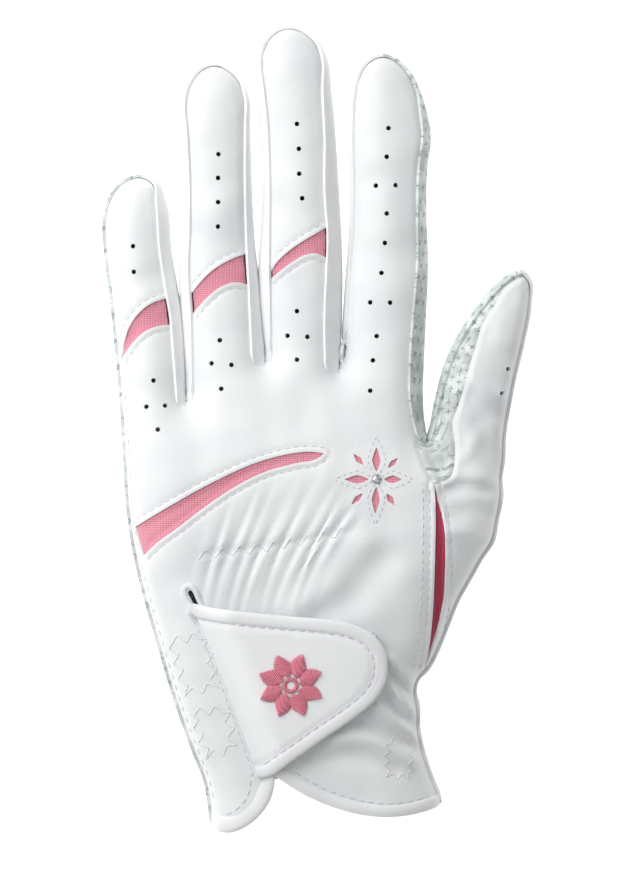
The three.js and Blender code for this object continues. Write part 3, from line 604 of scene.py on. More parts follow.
def triangulate(loops, paths, rings, step, fine=None):
    """Triangles that follow closed loops and open paths, with points on rings and between them."""
    points, edges = [], []
    for path, closed in [(loop, True) for loop in loops] + [(path, False) for path in paths]:
        first = len(points)
        points.extend(path[:, :2].tolist())
        edges.extend((k, k + 1) for k in range(first, len(points) - 1))
        if closed:
            edges.append((len(points) - 1, first))
    fixed = list(points)
    outline = loops[0]
    low, high = outline.min(axis=0), outline.max(axis=0)
    for ring in rings:
        ring = ring[inside(ring, outline)]
        if len(ring):
            fixed.extend(thin_out(ring, fixed, 0.42).tolist())
    if fine:
        grid = hex_points(fine[0], fine[1], FINE_STEP)
        grid = grid[inside(grid, outline)]
        fixed.extend(thin_out(grid, fixed, 0.5).tolist())
    grid = hex_points(low, high, step)
    grid = grid[inside(grid, outline)]
    fixed.extend(thin_out(grid, fixed, step * 0.62).tolist())
    found = delaunay_2d_cdt([Vector(p) for p in fixed], edges, [], 0, 1e-4, False)
    plan = np.array([(p.x, p.y) for p in found[0]])
    triangles = np.array([face for face in found[2] if len(face) == 3])
    centres = plan[triangles].mean(axis=1)
    return plan, triangles[inside(centres, outline)]


def vertex_normals(verts, triangles):
    a, b, c = (verts[triangles[:, k]] for k in range(3))
    faces = np.cross(b - a, c - a)
    normals = np.zeros_like(verts)
    for k in range(3):
        np.add.at(normals, triangles[:, k], faces)
    return normals / np.maximum(np.linalg.norm(normals, axis=1)[:, None], 1e-12)


def thicken(verts, normals, faces, thickness, down=0.0):
    """A closed panel: the given skin moved down by a distance, the same skin inside it, and its rim."""
    used = np.unique(faces)
    index = np.full(len(verts), -1)
    index[used] = np.arange(len(used))
    faces = index[faces]
    skin = verts[used] - normals[used] * down
    inner = skin - normals[used] * thickness
    sides = np.vstack([np.column_stack([faces[:, k], faces[:, (k + 1) % faces.shape[1]]])
                       for k in range(faces.shape[1])])
    keys = set(map(tuple, sides.tolist()))
    rim = [(a, b) for a, b in sides.tolist() if (b, a) not in keys]
    count = len(used)
    all_faces = faces.tolist() + (faces[:, ::-1] + count).tolist()
    all_faces += [(b, a, a + count, b + count) for a, b in rim]
    return np.vstack([skin, inner]), all_faces


def join(parts):
    """Several (vertices, faces) pairs as one."""
    verts, faces = [], []
    for part_verts, part_faces in parts:
        first = sum(len(v) for v in verts)
        verts.append(np.asarray(part_verts))
        faces.extend([tuple(k + first for k in face) for face in part_faces])
    return np.vstack(verts), faces


def print_places(verts):
    """Where each point of the palm leather lies when the leather is laid flat, which its print needs."""
    plan, z = verts[:, :2], verts[:, 2]
    gaps = np.linalg.norm(plan[:, None] - EDGE[None, :, :2], axis=2)
    nearest = gaps.argmin(axis=1)
    away = gaps.min(axis=1)[:, None]
    outward = -inward_normals(EDGE)[nearest]
    upper = z > (crest(*plan.T) - 1) / 2
    start = np.where(upper[:, None], EDGE[nearest, :2] + outward * away, plan)
    share = np.where(upper, 1.0, 1 - smooth_step((away[:, 0] - 3) / 6))
    return np.column_stack([start + outward * (z * share)[:, None], np.zeros(len(verts))])


def store(mesh, name, places):
    """Keeps a place in millimetres with every point of a mesh, for its material."""
    values = mesh.attributes.new(name, "FLOAT_VECTOR", "POINT")
    values.data.foreach_set("vector", np.asarray(places, np.float32).ravel())


def make(name, parts, material, smooth_angle=50):
    """A Blender object from (vertices in millimetres, faces) pairs."""
    verts, faces = join(parts)
    mesh = bpy.data.meshes.new(name)
    mesh.from_pydata((verts * MM).tolist(), [], faces)
    mesh.materials.append(material)
    store(mesh, "rest", verts)
    if material == PALM:
        store(mesh, "print", print_places(verts))
    mesh.shade_smooth()
    if smooth_angle:
        mesh.set_sharp_from_angle(angle=math.radians(smooth_angle))
    piece = bpy.data.objects.new(name, mesh)
    bpy.context.scene.collection.objects.link(piece)
    return piece


def follow(piece, body):
    """Rides on the hand or the tab; a finger's or the thumb's piece only has its place baked into its
    mesh.
    """
    if body in ("hand", "tab"):
        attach(piece, body)
    elif body == "thumb":
        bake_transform(piece)
    else:
        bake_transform(piece)


def fit(piece, node, body):
    """Stands in for a node of the CAD; it rides on the hand or the tab, and on a finger or the thumb stays
    where it is made.
    """
    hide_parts(node)
    follow(piece, body)


# ---- Materials -------------------------------------------------------------------------
class Finish:
    """A material and short calls that add nodes to it."""

    def __init__(self, name, roughness, **shader):
        self.material = bpy.data.materials.new(name)
        self.material.use_nodes = True
        self.tree = self.material.node_tree
        self.shader = self.tree.nodes["Principled BSDF"]
        self.shader.inputs["Roughness"].default_value = roughness
        for key, value in shader.items():
            self.shader.inputs[key.replace("_", " ")].default_value = value

    def add(self, kind, settings=None, **inputs):
        node = self.tree.nodes.new("ShaderNode" + kind)
        for key, value in (settings or {}).items():
            setattr(node, key, value)
        for key, value in inputs.items():
            socket = node.inputs[int(key[1:])] if key[0] == "_" else node.inputs[key.replace("_", " ")]
            self.set(socket, value)
        return node

    def set(self, socket, value):
        if isinstance(value, bpy.types.NodeSocket):
            self.tree.links.new(value, socket)
        else:
            socket.default_value = value

    def rest(self, scale=(1, 1, 1), stored="rest"):
        place = self.add("Attribute", {"attribute_name": stored}).outputs["Vector"]
        return self.add("VectorMath", {"operation": "MULTIPLY"}, _0=place, _1=scale).outputs[0]

    def math(self, operation, a, b=0.0):
        return self.add("Math", {"operation": operation}, _0=a, _1=b).outputs[0]

    def noise(self, place, scale, detail=3.0):
        return self.add("TexNoise", Vector=place, Scale=scale, Detail=detail).outputs["Fac"]

    def cells(self, place, scale):
        return self.add("TexVoronoi", Vector=place, Scale=scale).outputs["Distance"]

    def ramp(self, value, low, high):
        """0 below low, 1 above high."""
        node = self.add("MapRange", {"interpolation_type": "SMOOTHSTEP"}, Value=value)
        node.inputs["From Min"].default_value = low
        node.inputs["From Max"].default_value = high
        return node.outputs["Result"]

    def mix(self, share, a, b):
        node = self.add("Mix", {"data_type": "RGBA"}, _0=share)
        self.set(node.inputs[6], a if isinstance(a, bpy.types.NodeSocket) else (*a, 1))
        self.set(node.inputs[7], b if isinstance(b, bpy.types.NodeSocket) else (*b, 1))
        return node.outputs[2]

    def finish(self, colour, height, depth, roughness=None):
        """Sets the colour, and a bump whose height 0 to 1 is depth millimetres."""
        self.set(self.shader.inputs["Base Color"], colour)
        bump = self.add("Bump", Height=height, Strength=1.0, Distance=depth * MM)
        self.set(self.shader.inputs["Normal"], bump.outputs["Normal"])
        if roughness is not None:
            self.set(self.shader.inputs["Roughness"], roughness)
        return self.material


def leather_finish(name, light, dark, roughness=0.5, depth=0.04):
    """Fine-grained white leather: small pebbles, a soft mottle, faint creases and painted shade in the
    grooves between the pebbles.
    """
    f = Finish(name, roughness)
    place = f.rest()
    pebbles = f.ramp(f.cells(place, 1.45), 0.08, 0.62)
    fine = f.noise(place, 3.2, 4.0)
    height = f.math("ADD", f.math("MULTIPLY", pebbles, -0.55), f.math("MULTIPLY", fine, 0.6))
    mottle = f.ramp(f.noise(place, 0.05, 4.0), 0.3, 0.75)
    colour = f.mix(f.math("MULTIPLY", mottle, 0.7), light, dark)
    # Darker in the grooves between the pebbles: painted shade.
    colour = f.mix(f.math("MULTIPLY", f.ramp(pebbles, 0.55, 1.0), 0.12), colour, dark)
    rough = f.math("ADD", f.math("MULTIPLY", fine, 0.14), roughness - 0.07)
    return f.finish(colour, height, depth, roughness=rough)


def palm_finish():
    """Grippy palm leather with a staggered print of small four-armed sparks."""
    f = Finish("palm_leather", 0.62)
    place = f.rest((0.29, 0.29, 0.0), "print")
    parts = f.add("SeparateXYZ", Vector=place).outputs
    row = f.math("FLOOR", parts[1])
    shift = f.math("MULTIPLY", f.math("MODULO", f.math("ABSOLUTE", row), 2.0), 0.5)
    u = f.math("SUBTRACT", f.math("FRACT", f.math("ADD", f.math("ADD", parts[0], shift), 40.0)), 0.5)
    v = f.math("SUBTRACT", f.math("FRACT", f.math("ADD", parts[1], 40.0)), 0.5)
    turned = f.math("MULTIPLY", f.math("SUBTRACT", u, f.math("MULTIPLY", v, 0.5)), 0.95)
    other = f.math("MULTIPLY", f.math("ADD", v, f.math("MULTIPLY", u, 0.5)), 0.95)
    arms = f.math("MULTIPLY", f.math("ABSOLUTE", turned), f.math("ABSOLUTE", other))
    radius = f.math("SQRT", f.math("ADD", f.math("MULTIPLY", u, u), f.math("MULTIPLY", v, v)))
    near_arm = f.math("SUBTRACT", 1.0, f.ramp(arms, 0.003, 0.016))
    within = f.math("SUBTRACT", 1.0, f.ramp(radius, 0.3, 0.42))
    rough = f.noise(f.rest(), 0.9, 5.0)
    worn = f.ramp(rough, 0.3, 0.55)
    spark = f.math("MULTIPLY", f.math("MULTIPLY", near_arm, within), worn)
    patches = f.ramp(f.noise(f.rest(), 0.22, 3.0), 0.4, 0.65)
    colour = f.mix(patches, (0.55, 0.60, 0.585), (0.76, 0.81, 0.79))
    colour = f.mix(f.math("MULTIPLY", spark, 0.85), colour, (0.30, 0.335, 0.33))
    height = f.math("ADD", f.math("MULTIPLY", spark, -0.7), f.math("MULTIPLY", rough, 0.8))
    return f.finish(colour, height, 0.22)


def knit_finish(name, light, dark):
    """Knitted fabric: rows of small loops, coloured darker where they sink: painted shade in the hollows
    between them.
    """
    f = Finish(name, 0.78, Sheen_Weight=0.25)
    parts = f.add("SeparateXYZ", Vector=f.rest()).outputs
    across = f.math("ABSOLUTE", f.math("SINE", f.math("MULTIPLY", parts[0], math.pi / 0.75)))
    along = f.math("ABSOLUTE", f.math("SINE", f.math("MULTIPLY", parts[1], math.pi / 0.55)))
    loops = f.math("MULTIPLY", f.math("POWER", across, 0.6), f.math("POWER", along, 0.8))
    fuzz = f.noise(f.rest(), 4.0, 3.0)
    height = f.math("ADD", loops, f.math("MULTIPLY", fuzz, 0.35))
    # Darker where the loops sink: painted shade.
    colour = f.mix(f.ramp(f.math("ADD", loops, f.math("MULTIPLY", fuzz, 0.3)), 0.1, 0.9), dark, light)
    return f.finish(colour, height, 0.16)


def thread_finish(name, light, dark, sheen=0.3):
    """Twisted thread: slanting bands along it, with the colour darker where the bands sink: painted shade.
    """
    f = Finish(name, 0.42, Sheen_Weight=sheen)
    wave = f.add("TexWave", {"wave_type": "BANDS", "bands_direction": "DIAGONAL"},
                 Vector=f.rest(), Scale=1.3, Distortion=1.5, Detail=1.0).outputs["Fac"]
    # Darker in the hollows of the twist: painted shade.
    colour = f.mix(wave, dark, light)
    return f.finish(colour, wave, 0.05)


def tape_finish(name, light, dark, scale):
    """Woven tape: the matted loops or the hooks of the closing tape, or ribbed elastic."""
    f = Finish(name, 0.85, Sheen_Weight=0.3)
    place = f.rest()
    height = f.math("ADD", f.cells(place, scale), f.math("MULTIPLY", f.noise(place, 2.5, 4.0), 0.8))
    # Darker where the tape sinks: painted shade in the hollows of its weave.
    colour = f.mix(f.ramp(height, 0.3, 1.1), dark, light)
    return f.finish(colour, height, 0.3)


def crystal_finish():
    f = Finish("crystal", 0.04, Metallic=0.55, Coat_Weight=1.0)
    # Dark and light patches in the stone's colour: painted reflection.
    reflection_noise = f.ramp(f.noise(f.rest(), 1.2, 1.0), 0.35, 0.65)
    return f.finish(f.mix(reflection_noise, (0.30, 0.32, 0.36), (0.85, 0.88, 0.92)), reflection_noise, 0.01)


WHITE = leather_finish("white_leather", (0.81, 0.825, 0.825), (0.745, 0.765, 0.785))
# A lighter copy of the white leather: painted light, so the side strips look as bright as the backs though
# they face away from the light. The tab uses it too.
PAINTED_LIGHT_LEATHER = leather_finish("strip_leather_painted_light", (0.90, 0.91, 0.915), (0.84, 0.855, 0.87))
ROLL = leather_finish("edge_leather", (0.84, 0.85, 0.855), (0.78, 0.795, 0.81), 0.42, 0.03)
PALM = palm_finish()
PINK = knit_finish("pink_knit", (0.88, 0.355, 0.44), (0.72, 0.22, 0.305))
# A darker copy of the pink knit for the thumb-side gusset: painted shade, for the shade that lies in its
# hollow beside the thumb.
SHADED_PINK = knit_finish("gusset_knit", (0.56, 0.045, 0.11), (0.28, 0.015, 0.05))
# The white thread is greyed: painted shade, for the shadows of its stitch holes.
THREAD = thread_finish("white_thread", (0.80, 0.80, 0.84), (0.58, 0.59, 0.66))
PALE_THREAD = thread_finish("pale_thread", (0.86, 0.865, 0.88), (0.79, 0.795, 0.81))
SATIN = thread_finish("satin_thread", (0.95, 0.33, 0.43), (0.66, 0.11, 0.19), 0.5)
LOOPS = tape_finish("loop_tape", (0.84, 0.85, 0.86), (0.55, 0.57, 0.60), 1.1)
HOOKS = tape_finish("hook_tape", (0.82, 0.83, 0.84), (0.60, 0.62, 0.65), 0.9)
ELASTIC = tape_finish("elastic", (0.80, 0.80, 0.81), (0.56, 0.57, 0.60), 1.6)
CRYSTAL = crystal_finish()


# ---- The back's panels -----------------------------------------------------------------
def back_mesh():
    """The whole back as triangles that follow every seam, window and perforation."""
    holes = [circle(centre, HOLE_RADIUS, 10) for rows in PERFORATIONS.values() for centre in rows]
    petals = [petal_outline(row) for row in PETALS]
    splits = [BACK_SEAM[list(span)] for name, span in SPANS.items() if name != "thumb"]
    paths = [resample(line, STEP) for line in splits]
    paths += [LEFT_SEAM, RIGHT_SEAM, WEB_SEAM, THUMB_LINE, resample(CREASE, STEP)]
    for lower, upper in BANDS.values():
        paths += [lower, upper]
    slit = curve(SLIT, 0.9, closed=True)
    rings = [beside(BACK_SEAM, d) for d in (0.5, 1.1, 1.9)]
    for path in (closed_loop(WINDOW), LEFT_SEAM, RIGHT_SEAM, THUMB_LINE, WEB_SEAM):
        rings += [beside(path, side * d) for side in (-1, 1) for d in SEAM_RINGS]
    for lower, upper in BANDS.values():
        rings += [beside(lower, d) for d in SEAM_RINGS]
        rings += [beside(upper, -d) for d in SEAM_RINGS]
    rings += [petal_outline(row, d) for row in PETALS for d in (0.45, 0.95)]
    fine = ((-40, -50), (14, -12))
    plan, triangles = triangulate([BACK_OUTLINE, WINDOW, slit] + petals + holes, paths, rings, STEP, fine)
    centres = plan[triangles].mean(axis=1)
    gone = inside(centres, slit)
    for hole in holes:
        gone |= inside(centres, hole)
    triangles = triangles[~gone]
    verts = np.column_stack([plan, surface(plan)])
    return verts, triangles, plan[triangles].mean(axis=1)


def band_outline(name):
    lower, upper = BANDS[name]
    return np.vstack([lower, upper[::-1]])


def label_back(centres):
    """The name of the panel that each triangle belongs to."""
    labels = np.full(len(centres), "back_panel", dtype=object)
    side = np.vstack([WEB_SEAM[::-1], LEFT_SEAM[::-1], [[28.5, -66], [90, -66], [90, 60], [31, 60]],
                      BACK_SEAM[[SPANS["thumb"][0] - 2]]])
    beyond_seam = inside(centres, side) & (centres[:, 0] > 25)
    thumb_side = beyond_seam & (centres[:, 1] > THUMB_CREASE_Y)
    labels[beyond_seam & ~thumb_side & (centres[:, 1] > -63.6)] = "thumb_heel_panel"
    labels[thumb_side] = "thumb_back"
    wrap = np.vstack([THUMB_LINE, [[54, 60], [20, 60], [20, THUMB_CREASE_Y]]])
    labels[thumb_side & inside(centres, wrap)] = "thumb_palm"
    labels[inside(centres, np.vstack([LEFT_SEAM, RIGHT_SEAM[::-1]]))] = "thumb_gusset"
    for name, (first, last) in SPANS.items():
        if name == "thumb":
            continue
        finger = inside(centres, BACK_SEAM[first:last + 1])
        labels[finger] = name + "_back_near"
        if name not in BANDS:
            continue
        upper = BANDS[name][1]
        above = centres[:, 1] > np.interp(centres[:, 0], upper[:, 0], upper[:, 1])
        labels[finger & above] = name + "_back_tip"
        labels[finger & inside(centres, band_outline(name))] = name + "_knuckle_insert"
    labels[inside(centres, WINDOW)] = "back_insert"
    for row in PETALS:
        labels[inside(centres, petal_outline(row))] = "flower_backing"
    return labels


BACK_VERTS, BACK_TRIANGLES, BACK_CENTRES = back_mesh()
BACK_NORMALS = vertex_normals(BACK_VERTS, BACK_TRIANGLES)
BACK_LABELS = label_back(BACK_CENTRES)


def back_part(name, thickness=LEATHER, down=0.0):
    return thicken(BACK_VERTS, BACK_NORMALS, BACK_TRIANGLES[BACK_LABELS == name], thickness, down)


# ---- Walls between the back and the palm -----------------------------------------------
WALL_ROWS = 5


def bulge(share, height):
    """How far a wall has come in from the outline, 0 to 1, at a share of its height."""
    there = 1 - (1 - (height * share) ** SQUARENESS) ** (1 / SQUARENESS)
    return there / (1 - (1 - height ** SQUARENESS) ** (1 / SQUARENESS))


def wall_grid():
    """Points from the back's seam round the outline to the palm's seam, in rows along EDGE."""
    points = EDGE[:, :2]
    normals = inward_normals(EDGE)
    x, y = points.T
    top = crest(x, y)
    middle = (top - 1) / 2
    seam_z = surface(BACK_SEAM)
    rise = np.clip((seam_z - middle) / (top - middle), 0.05, 0.995)
    grid = []
    for k in range(WALL_ROWS + 1):
        share = 1 - k / WALL_ROWS
        place = points + normals * (EDGE[:, 2] * bulge(share, rise))[:, None]
        grid.append(np.column_stack([place, middle + (seam_z - middle) * share]))
    palm_z = palm_surface(PALM_SEAM)
    fall = np.clip(1 - palm_z / middle, 0.05, 0.995)
    for k in range(1, WALL_ROWS + 1):
        share = k / WALL_ROWS
        place = points + normals * (PALM_INSET * bulge(share, fall))[:, None]
        grid.append(np.column_stack([place, middle + (palm_z - middle) * share]))
    return np.array(grid)


WALLS = wall_grid()


def grid_quads(rows, count):
    return np.array([
        (r * count + k, r * count + k + 1, (r + 1) * count + k + 1, (r + 1) * count + k)
        for r in range(rows - 1) for k in range(count - 1)
    ])[:, ::-1]


def wall_normals():
    """Normals of the whole wall, so that its parts meet without a step."""
    quads = grid_quads(*WALLS.shape[:2])
    triangles = np.vstack([quads[:, [0, 1, 2]], quads[:, [0, 2, 3]]])
    return vertex_normals(WALLS.reshape(-1, 3), triangles).reshape(WALLS.shape)


WALL_NORMALS = wall_normals()


def wall_part(first, last):
    """The wall between two places along EDGE."""
    rows, count = WALLS.shape[0], last - first + 1
    verts = WALLS[:, first:last + 1].reshape(-1, 3)
    normals = WALL_NORMALS[:, first:last + 1].reshape(-1, 3)
    return thicken(verts, normals, grid_quads(rows, count), LEATHER)


# ---- The palm --------------------------------------------------------------------------
def palm_mesh():
    splits = [resample(PALM_SEAM[list(span)], STEP) for span in SPANS.values()]
    rings = [beside(PALM_SEAM, d) for d in (0.8, 1.8)]
    plan, triangles = triangulate([PALM_OUTLINE], splits, rings, 1.5)
    verts = np.column_stack([plan, palm_surface(plan)])
    return verts, triangles[:, ::-1], plan[triangles].mean(axis=1)


PALM_VERTS, PALM_TRIANGLES, PALM_CENTRES = palm_mesh()
PALM_NORMALS = vertex_normals(PALM_VERTS, PALM_TRIANGLES)
PALM_LABELS = np.full(len(PALM_CENTRES), "hand", dtype=object)
for span_name, (span_first, span_last) in SPANS.items():
    PALM_LABELS[inside(PALM_CENTRES, PALM_SEAM[span_first:span_last + 1])] = span_name


def palm_part(name):
    return thicken(PALM_VERTS, PALM_NORMALS, PALM_TRIANGLES[PALM_LABELS == name], LEATHER)


# ---- Rolled edges and threads ----------------------------------------------------------
ROLL_SIDES = 12
ROLL_SQUARENESS = 2.3     # exponent of a rolled edge's oval section
THREAD_SIDES = 6


def unit(vectors):
    return vectors / np.maximum(np.linalg.norm(vectors, axis=1)[:, None], 1e-9)


def sweep(path, side, half_width, half_height):
    """A flat oval tube along a path, closed at its ends; side points across it."""
    count = ROLL_SIDES
    ahead = unit(np.gradient(path, axis=0))
    side = unit(side - ahead * np.sum(side * ahead, axis=1)[:, None])
    up = np.cross(side, ahead)
    width = np.broadcast_to(half_width, len(path))
    height = np.broadcast_to(half_height, len(path))
    angles = 2 * math.pi * np.arange(count) / count
    power = 2 / ROLL_SQUARENESS
    c = np.sign(np.cos(angles)) * np.abs(np.cos(angles)) ** power
    s = np.sign(np.sin(angles)) * np.abs(np.sin(angles)) ** power
    rings = (path[:, None] + side[:, None] * (width[:, None] * c)[..., None]
             + up[:, None] * (height[:, None] * s)[..., None])
    n = len(path)
    faces = [(r * count + k, r * count + (k + 1) % count, (r + 1) * count + (k + 1) % count,
              (r + 1) * count + k) for r in range(n - 1) for k in range(count)]
    faces = [face[::-1] for face in faces]
    faces.append(tuple(range(count)))
    faces.append(tuple((n - 1) * count + k for k in reversed(range(count))))
    return rings.reshape(-1, 3), faces


def stitch_verts(starts, ends, radius=THREAD_RADIUS, lift=0.1):
    """Short threads between pairs of points; each arches out of the leather and back in."""
    ahead = unit(ends - starts)
    up = np.tile([0.0, 0.0, 1.0], (len(starts), 1))
    side = unit(np.cross(ahead, up))
    up = np.cross(side, ahead)
    parts = []
    shares = [0.0, 0.16, 0.5, 0.84, 1.0]
    heights = [-0.16, 0.6, 1.0, 0.6, -0.16]
    widths = [0.45, 0.95, 1.0, 0.95, 0.45]
    angles = 2 * math.pi * np.arange(THREAD_SIDES) / THREAD_SIDES
    for share, height, width in zip(shares, heights, widths):
        centre = starts + (ends - starts) * share + up * (lift * height)
        ring = (centre[:, None] + side[:, None] * (np.cos(angles) * radius * width)[None, :, None]
                + up[:, None] * (np.sin(angles) * radius * width)[None, :, None])
        parts.append(ring)
    verts = np.stack(parts, axis=1).reshape(-1, 3)
    faces = []
    for n in range(len(starts)):
        first = n * len(shares) * THREAD_SIDES
        last = first + (len(shares) - 1) * THREAD_SIDES
        for row in range(first, last, THREAD_SIDES):
            for k in range(THREAD_SIDES):
                a, b = row + k, row + (k + 1) % THREAD_SIDES
                faces.append((a, b, b + THREAD_SIDES, a + THREAD_SIDES))
        faces.append(tuple(first + k for k in reversed(range(THREAD_SIDES))))
        faces.append(tuple(last + k for k in range(THREAD_SIDES)))
    return verts, faces


def stitch_row(path, height, pitch=STITCH_PITCH, length=STITCH_LENGTH, radius=THREAD_RADIUS):
    """A row of stitches along a plan path, on a surface given by its height function."""
    along = np.concatenate([[0], np.cumsum(np.linalg.norm(np.diff(path[:, :2], axis=0), axis=1))])
    places = np.arange(pitch / 2, along[-1] - length / 2, pitch)
    ends = []
    for shift in (-length / 2, length / 2):
        plan = np.column_stack([np.interp(places + shift, along, path[:, k]) for k in (0, 1)])
        ends.append(np.column_stack([plan, height(plan)]))
    return stitch_verts(ends[0], ends[1], radius)


def zigzag(path, half_width, pitch):
    """The corners of a zigzag along a plan path."""
    line = resample(path, pitch / 2)
    side = inward_normals(line)
    signs = np.where(np.arange(len(line)) % 2 == 0, 1.0, -1.0)[:, None]
    return line[:, :2] + side * signs * half_width


def zigzag_stitches(path, half_width, pitch, height):
    """A zigzag thread, in short lengths that follow the surface."""
    line = resample(zigzag(path, half_width, pitch), pitch / 6)
    solid = np.column_stack([line, height(line) + 0.05])
    return stitch_verts(solid[:-1], solid[1:], THREAD_RADIUS, 0.02)


# ---- Making the glove ------------------------------------------------------------------
def make_back():
    cuff_wall = wall_part(WRIST_PLACE, len(EDGE) - 1)
    roll = curve(SLIT_ROLL, 0.6)
    roll_side = np.column_stack([inward_normals(roll), np.zeros(len(roll))])
    turned_edge = sweep(np.column_stack([roll, surface(roll) + 0.1]), roll_side, 0.75, 0.5)
    panel = make("back_leather", [back_part("back_panel"), cuff_wall, turned_edge],
                 WHITE)
    fit(panel, "back_panel", "hand")
    for name in FINGERS:
        parts = [back_part(name + "_back_near")]
        if name in BANDS:
            parts.append(back_part(name + "_back_tip"))
            knit = make(name + "_knit_band", [back_part(name + "_knuckle_insert", KNIT, KNIT_DROP)],
                        PINK)
            fit(knit, name + "_knuckle_insert", name)
        piece = make(name + "_back_leather", parts, WHITE)
        fit(piece, name + "_back_tip", name)
    window = make("window_knit", [back_part("back_insert", KNIT, KNIT_DROP)], PINK)
    fit(window, "back_insert", "hand")
    petals = make("petal_knit", [back_part("flower_backing", KNIT, KNIT_DROP)], PINK)
    fit(petals, "flower_backing", "hand")
    # The gusset's darker pink is painted shade.
    gusset = make("gusset_knit_panel", [back_part("thumb_gusset", KNIT, KNIT_DROP + 0.15)],
                  SHADED_PINK)
    fit(gusset, "thumb_gusset", "hand")


def make_thumb_side():
    first, last = SPANS["thumb"]
    thumb = make("thumb_back_leather", [back_part("thumb_back"), wall_part(TIPS["thumb"], last)],
                 WHITE)
    fit(thumb, "thumb_back", "thumb")
    palm = make("thumb_palm_leather",
                [back_part("thumb_palm"), wall_part(first, TIPS["thumb"]), palm_part("thumb")],
                PALM)
    fit(palm, "thumb_palm", "thumb")
    heel = make("thumb_heel_leather", [back_part("thumb_heel_panel"), wall_part(last, WRIST_PLACE)],
                WHITE)
    fit(heel, "thumb_heel_panel", "hand")


def make_palm():
    hand_walls = [wall_part(0, SPANS["little"][0]), wall_part(SPANS["index"][1], SPANS["thumb"][0])]
    palm = make("palm_leather_panel", [palm_part("hand")] + hand_walls, PALM)
    fit(palm, "palm_panel", "hand")
    outer = {"little": (SPANS["little"][0], TIPS["little"]),
             "index": (TIPS["index"], SPANS["index"][1])}
    for name in FINGERS:
        parts = [palm_part(name)]
        if name in outer:
            parts.append(wall_part(*outer[name]))
        piece = make(name + "_palm_leather", parts, PALM)
        fit(piece, name + "_palm_tip", name)


def make_fourchettes():
    """The strips between neighbouring fingers: one round each crotch, and one up each finger's side."""
    pairs = [("little", "ring"), ("ring", "middle"), ("middle", "index")]
    for left, right in pairs:
        # The strips' lighter leather is painted light.
        crotch = make(f"fourchette_{left}_{right}", [wall_part(SPANS[left][1], SPANS[right][0])],
                      PAINTED_LIGHT_LEATHER)
        fit(crotch, f"fourchette_{right}_{left}", "hand")
        sides = {left: (TIPS[left], SPANS[left][1], right), right: (SPANS[right][0], TIPS[right], left)}
        for name, (first, last, other) in sides.items():
            side = make(f"{name}_side_by_{other}", [wall_part(first, last)], PAINTED_LIGHT_LEATHER)
            fit(side, f"{name}_fourchette_by_{other}", name)


def cuff_path():
    """The cuff's edge in space, as two lengths that run from the notch to the middle of the palm."""
    back = curve(BACK_CUFF, 0.9)
    cut = int(np.argmin(np.abs(back[:, 0] - NOTCH_X)))
    palm = curve(PALM_CUFF, 1.2)
    lift = np.column_stack([back, surface(back)])
    below = np.column_stack([palm, palm_surface(palm)])
    little_wall = WALLS[:, 0]
    thumb_wall = WALLS[:, -1]
    little = np.vstack([lift[cut + 1:], little_wall[1:-1], below[::-1][:len(below) // 2]])
    thumb = np.vstack([lift[:cut + 1][::-1], thumb_wall[1:-1], below[:len(below) // 2 + 1]])
    return little, thumb


def smooth_path(path, rounds, step):
    return soften(resample(path, step), rounds)


def make_cuff():
    """The rolled edge round the wrist opening, in two lengths."""
    names = [("little_side", "cuff_binding_little_side"), ("thumb_side", "cuff_binding_thumb_side")]
    for (name, node), path in zip(names, cuff_path()):
        half_width, half_height, shift = CUFF_ROLLS[name]
        path = smooth_path(path, 5, 1.0)
        path[:, 1] += shift
        path[:, 2] = np.maximum(path[:, 2] - 0.2, half_height + 0.05)
        side = np.tile([0.0, 1.0, 0.0], (len(path), 1))
        taper = np.minimum(1, 0.35 + np.minimum(np.arange(len(path)), np.arange(len(path))[::-1]) / 4)
        piece = make("cuff_edge_" + name,
                     [sweep(path, side, half_width * taper, half_height * taper)],
                     ROLL, 40)
        fit(piece, node, "hand")


def tab_height(points):
    """The height of the closing tab's underside."""
    base, _ = ground(points)
    away = distance_to(points, np.array(TAB_ROOT))
    lift = TAB_LIFT[0] + (TAB_LIFT[1] - TAB_LIFT[0]) * smooth_step(away / 9)
    return base + lift + 0.12 * np.sin(points[:, 0] * 0.16 + points[:, 1] * 0.1)


def tab_top(points):
    return tab_height(points) + TAB_THICKNESS


def blend_tab(piece):
    """Bakes a piece of the tab's place into its mesh; it does not bend it."""
    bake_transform(piece)


def make_tab():
    edge = curve(TAB_EDGE, 0.9)
    inner = beside(edge, 2.3)
    root = resample(curve(TAB_ROOT), STEP)
    outline = np.vstack([inner, root[::-1]])
    rings = [beside(edge, d) for d in (2.9, 3.6, 4.4)]
    plan, triangles = triangulate([outline], [], rings, 1.4)
    away = distance_to(plan, edge)
    heights = tab_top(plan) + 0.1 * bell(away - 4.6, 0.8) - 0.28 * bell(away - 3.5, 0.6)
    verts = np.column_stack([plan, heights])
    # The tab shares the lighter leather: painted light.
    panel = make("tab_leather", [thicken(verts, vertex_normals(verts, triangles), triangles,
                                         TAB_THICKNESS)], PAINTED_LIGHT_LEATHER)
    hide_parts("tab_panel")
    blend_tab(panel)

    centre = beside(edge, TAB_ROLL[0])
    path = np.column_stack([centre, tab_top(centre) - TAB_THICKNESS / 2])
    side = np.column_stack([inward_normals(edge), np.zeros(len(edge))])
    roll = make("tab_edge_roll", [sweep(path, side, TAB_ROLL[0], TAB_ROLL[1])], ROLL,
                40)
    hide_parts("tab_binding")
    blend_tab(roll)
    row = stitch_row(beside(edge, 3.5), lambda p: tab_top(p) - 0.2, 2.6, 1.9)
    root_row = stitch_row(beside(root, 1.0)[::-1], lambda p: tab_top(p) + 0.02, 2.4, 1.6)
    stitches = make("tab_stitches", [row, root_row], THREAD, 0)
    blend_tab(stitches)


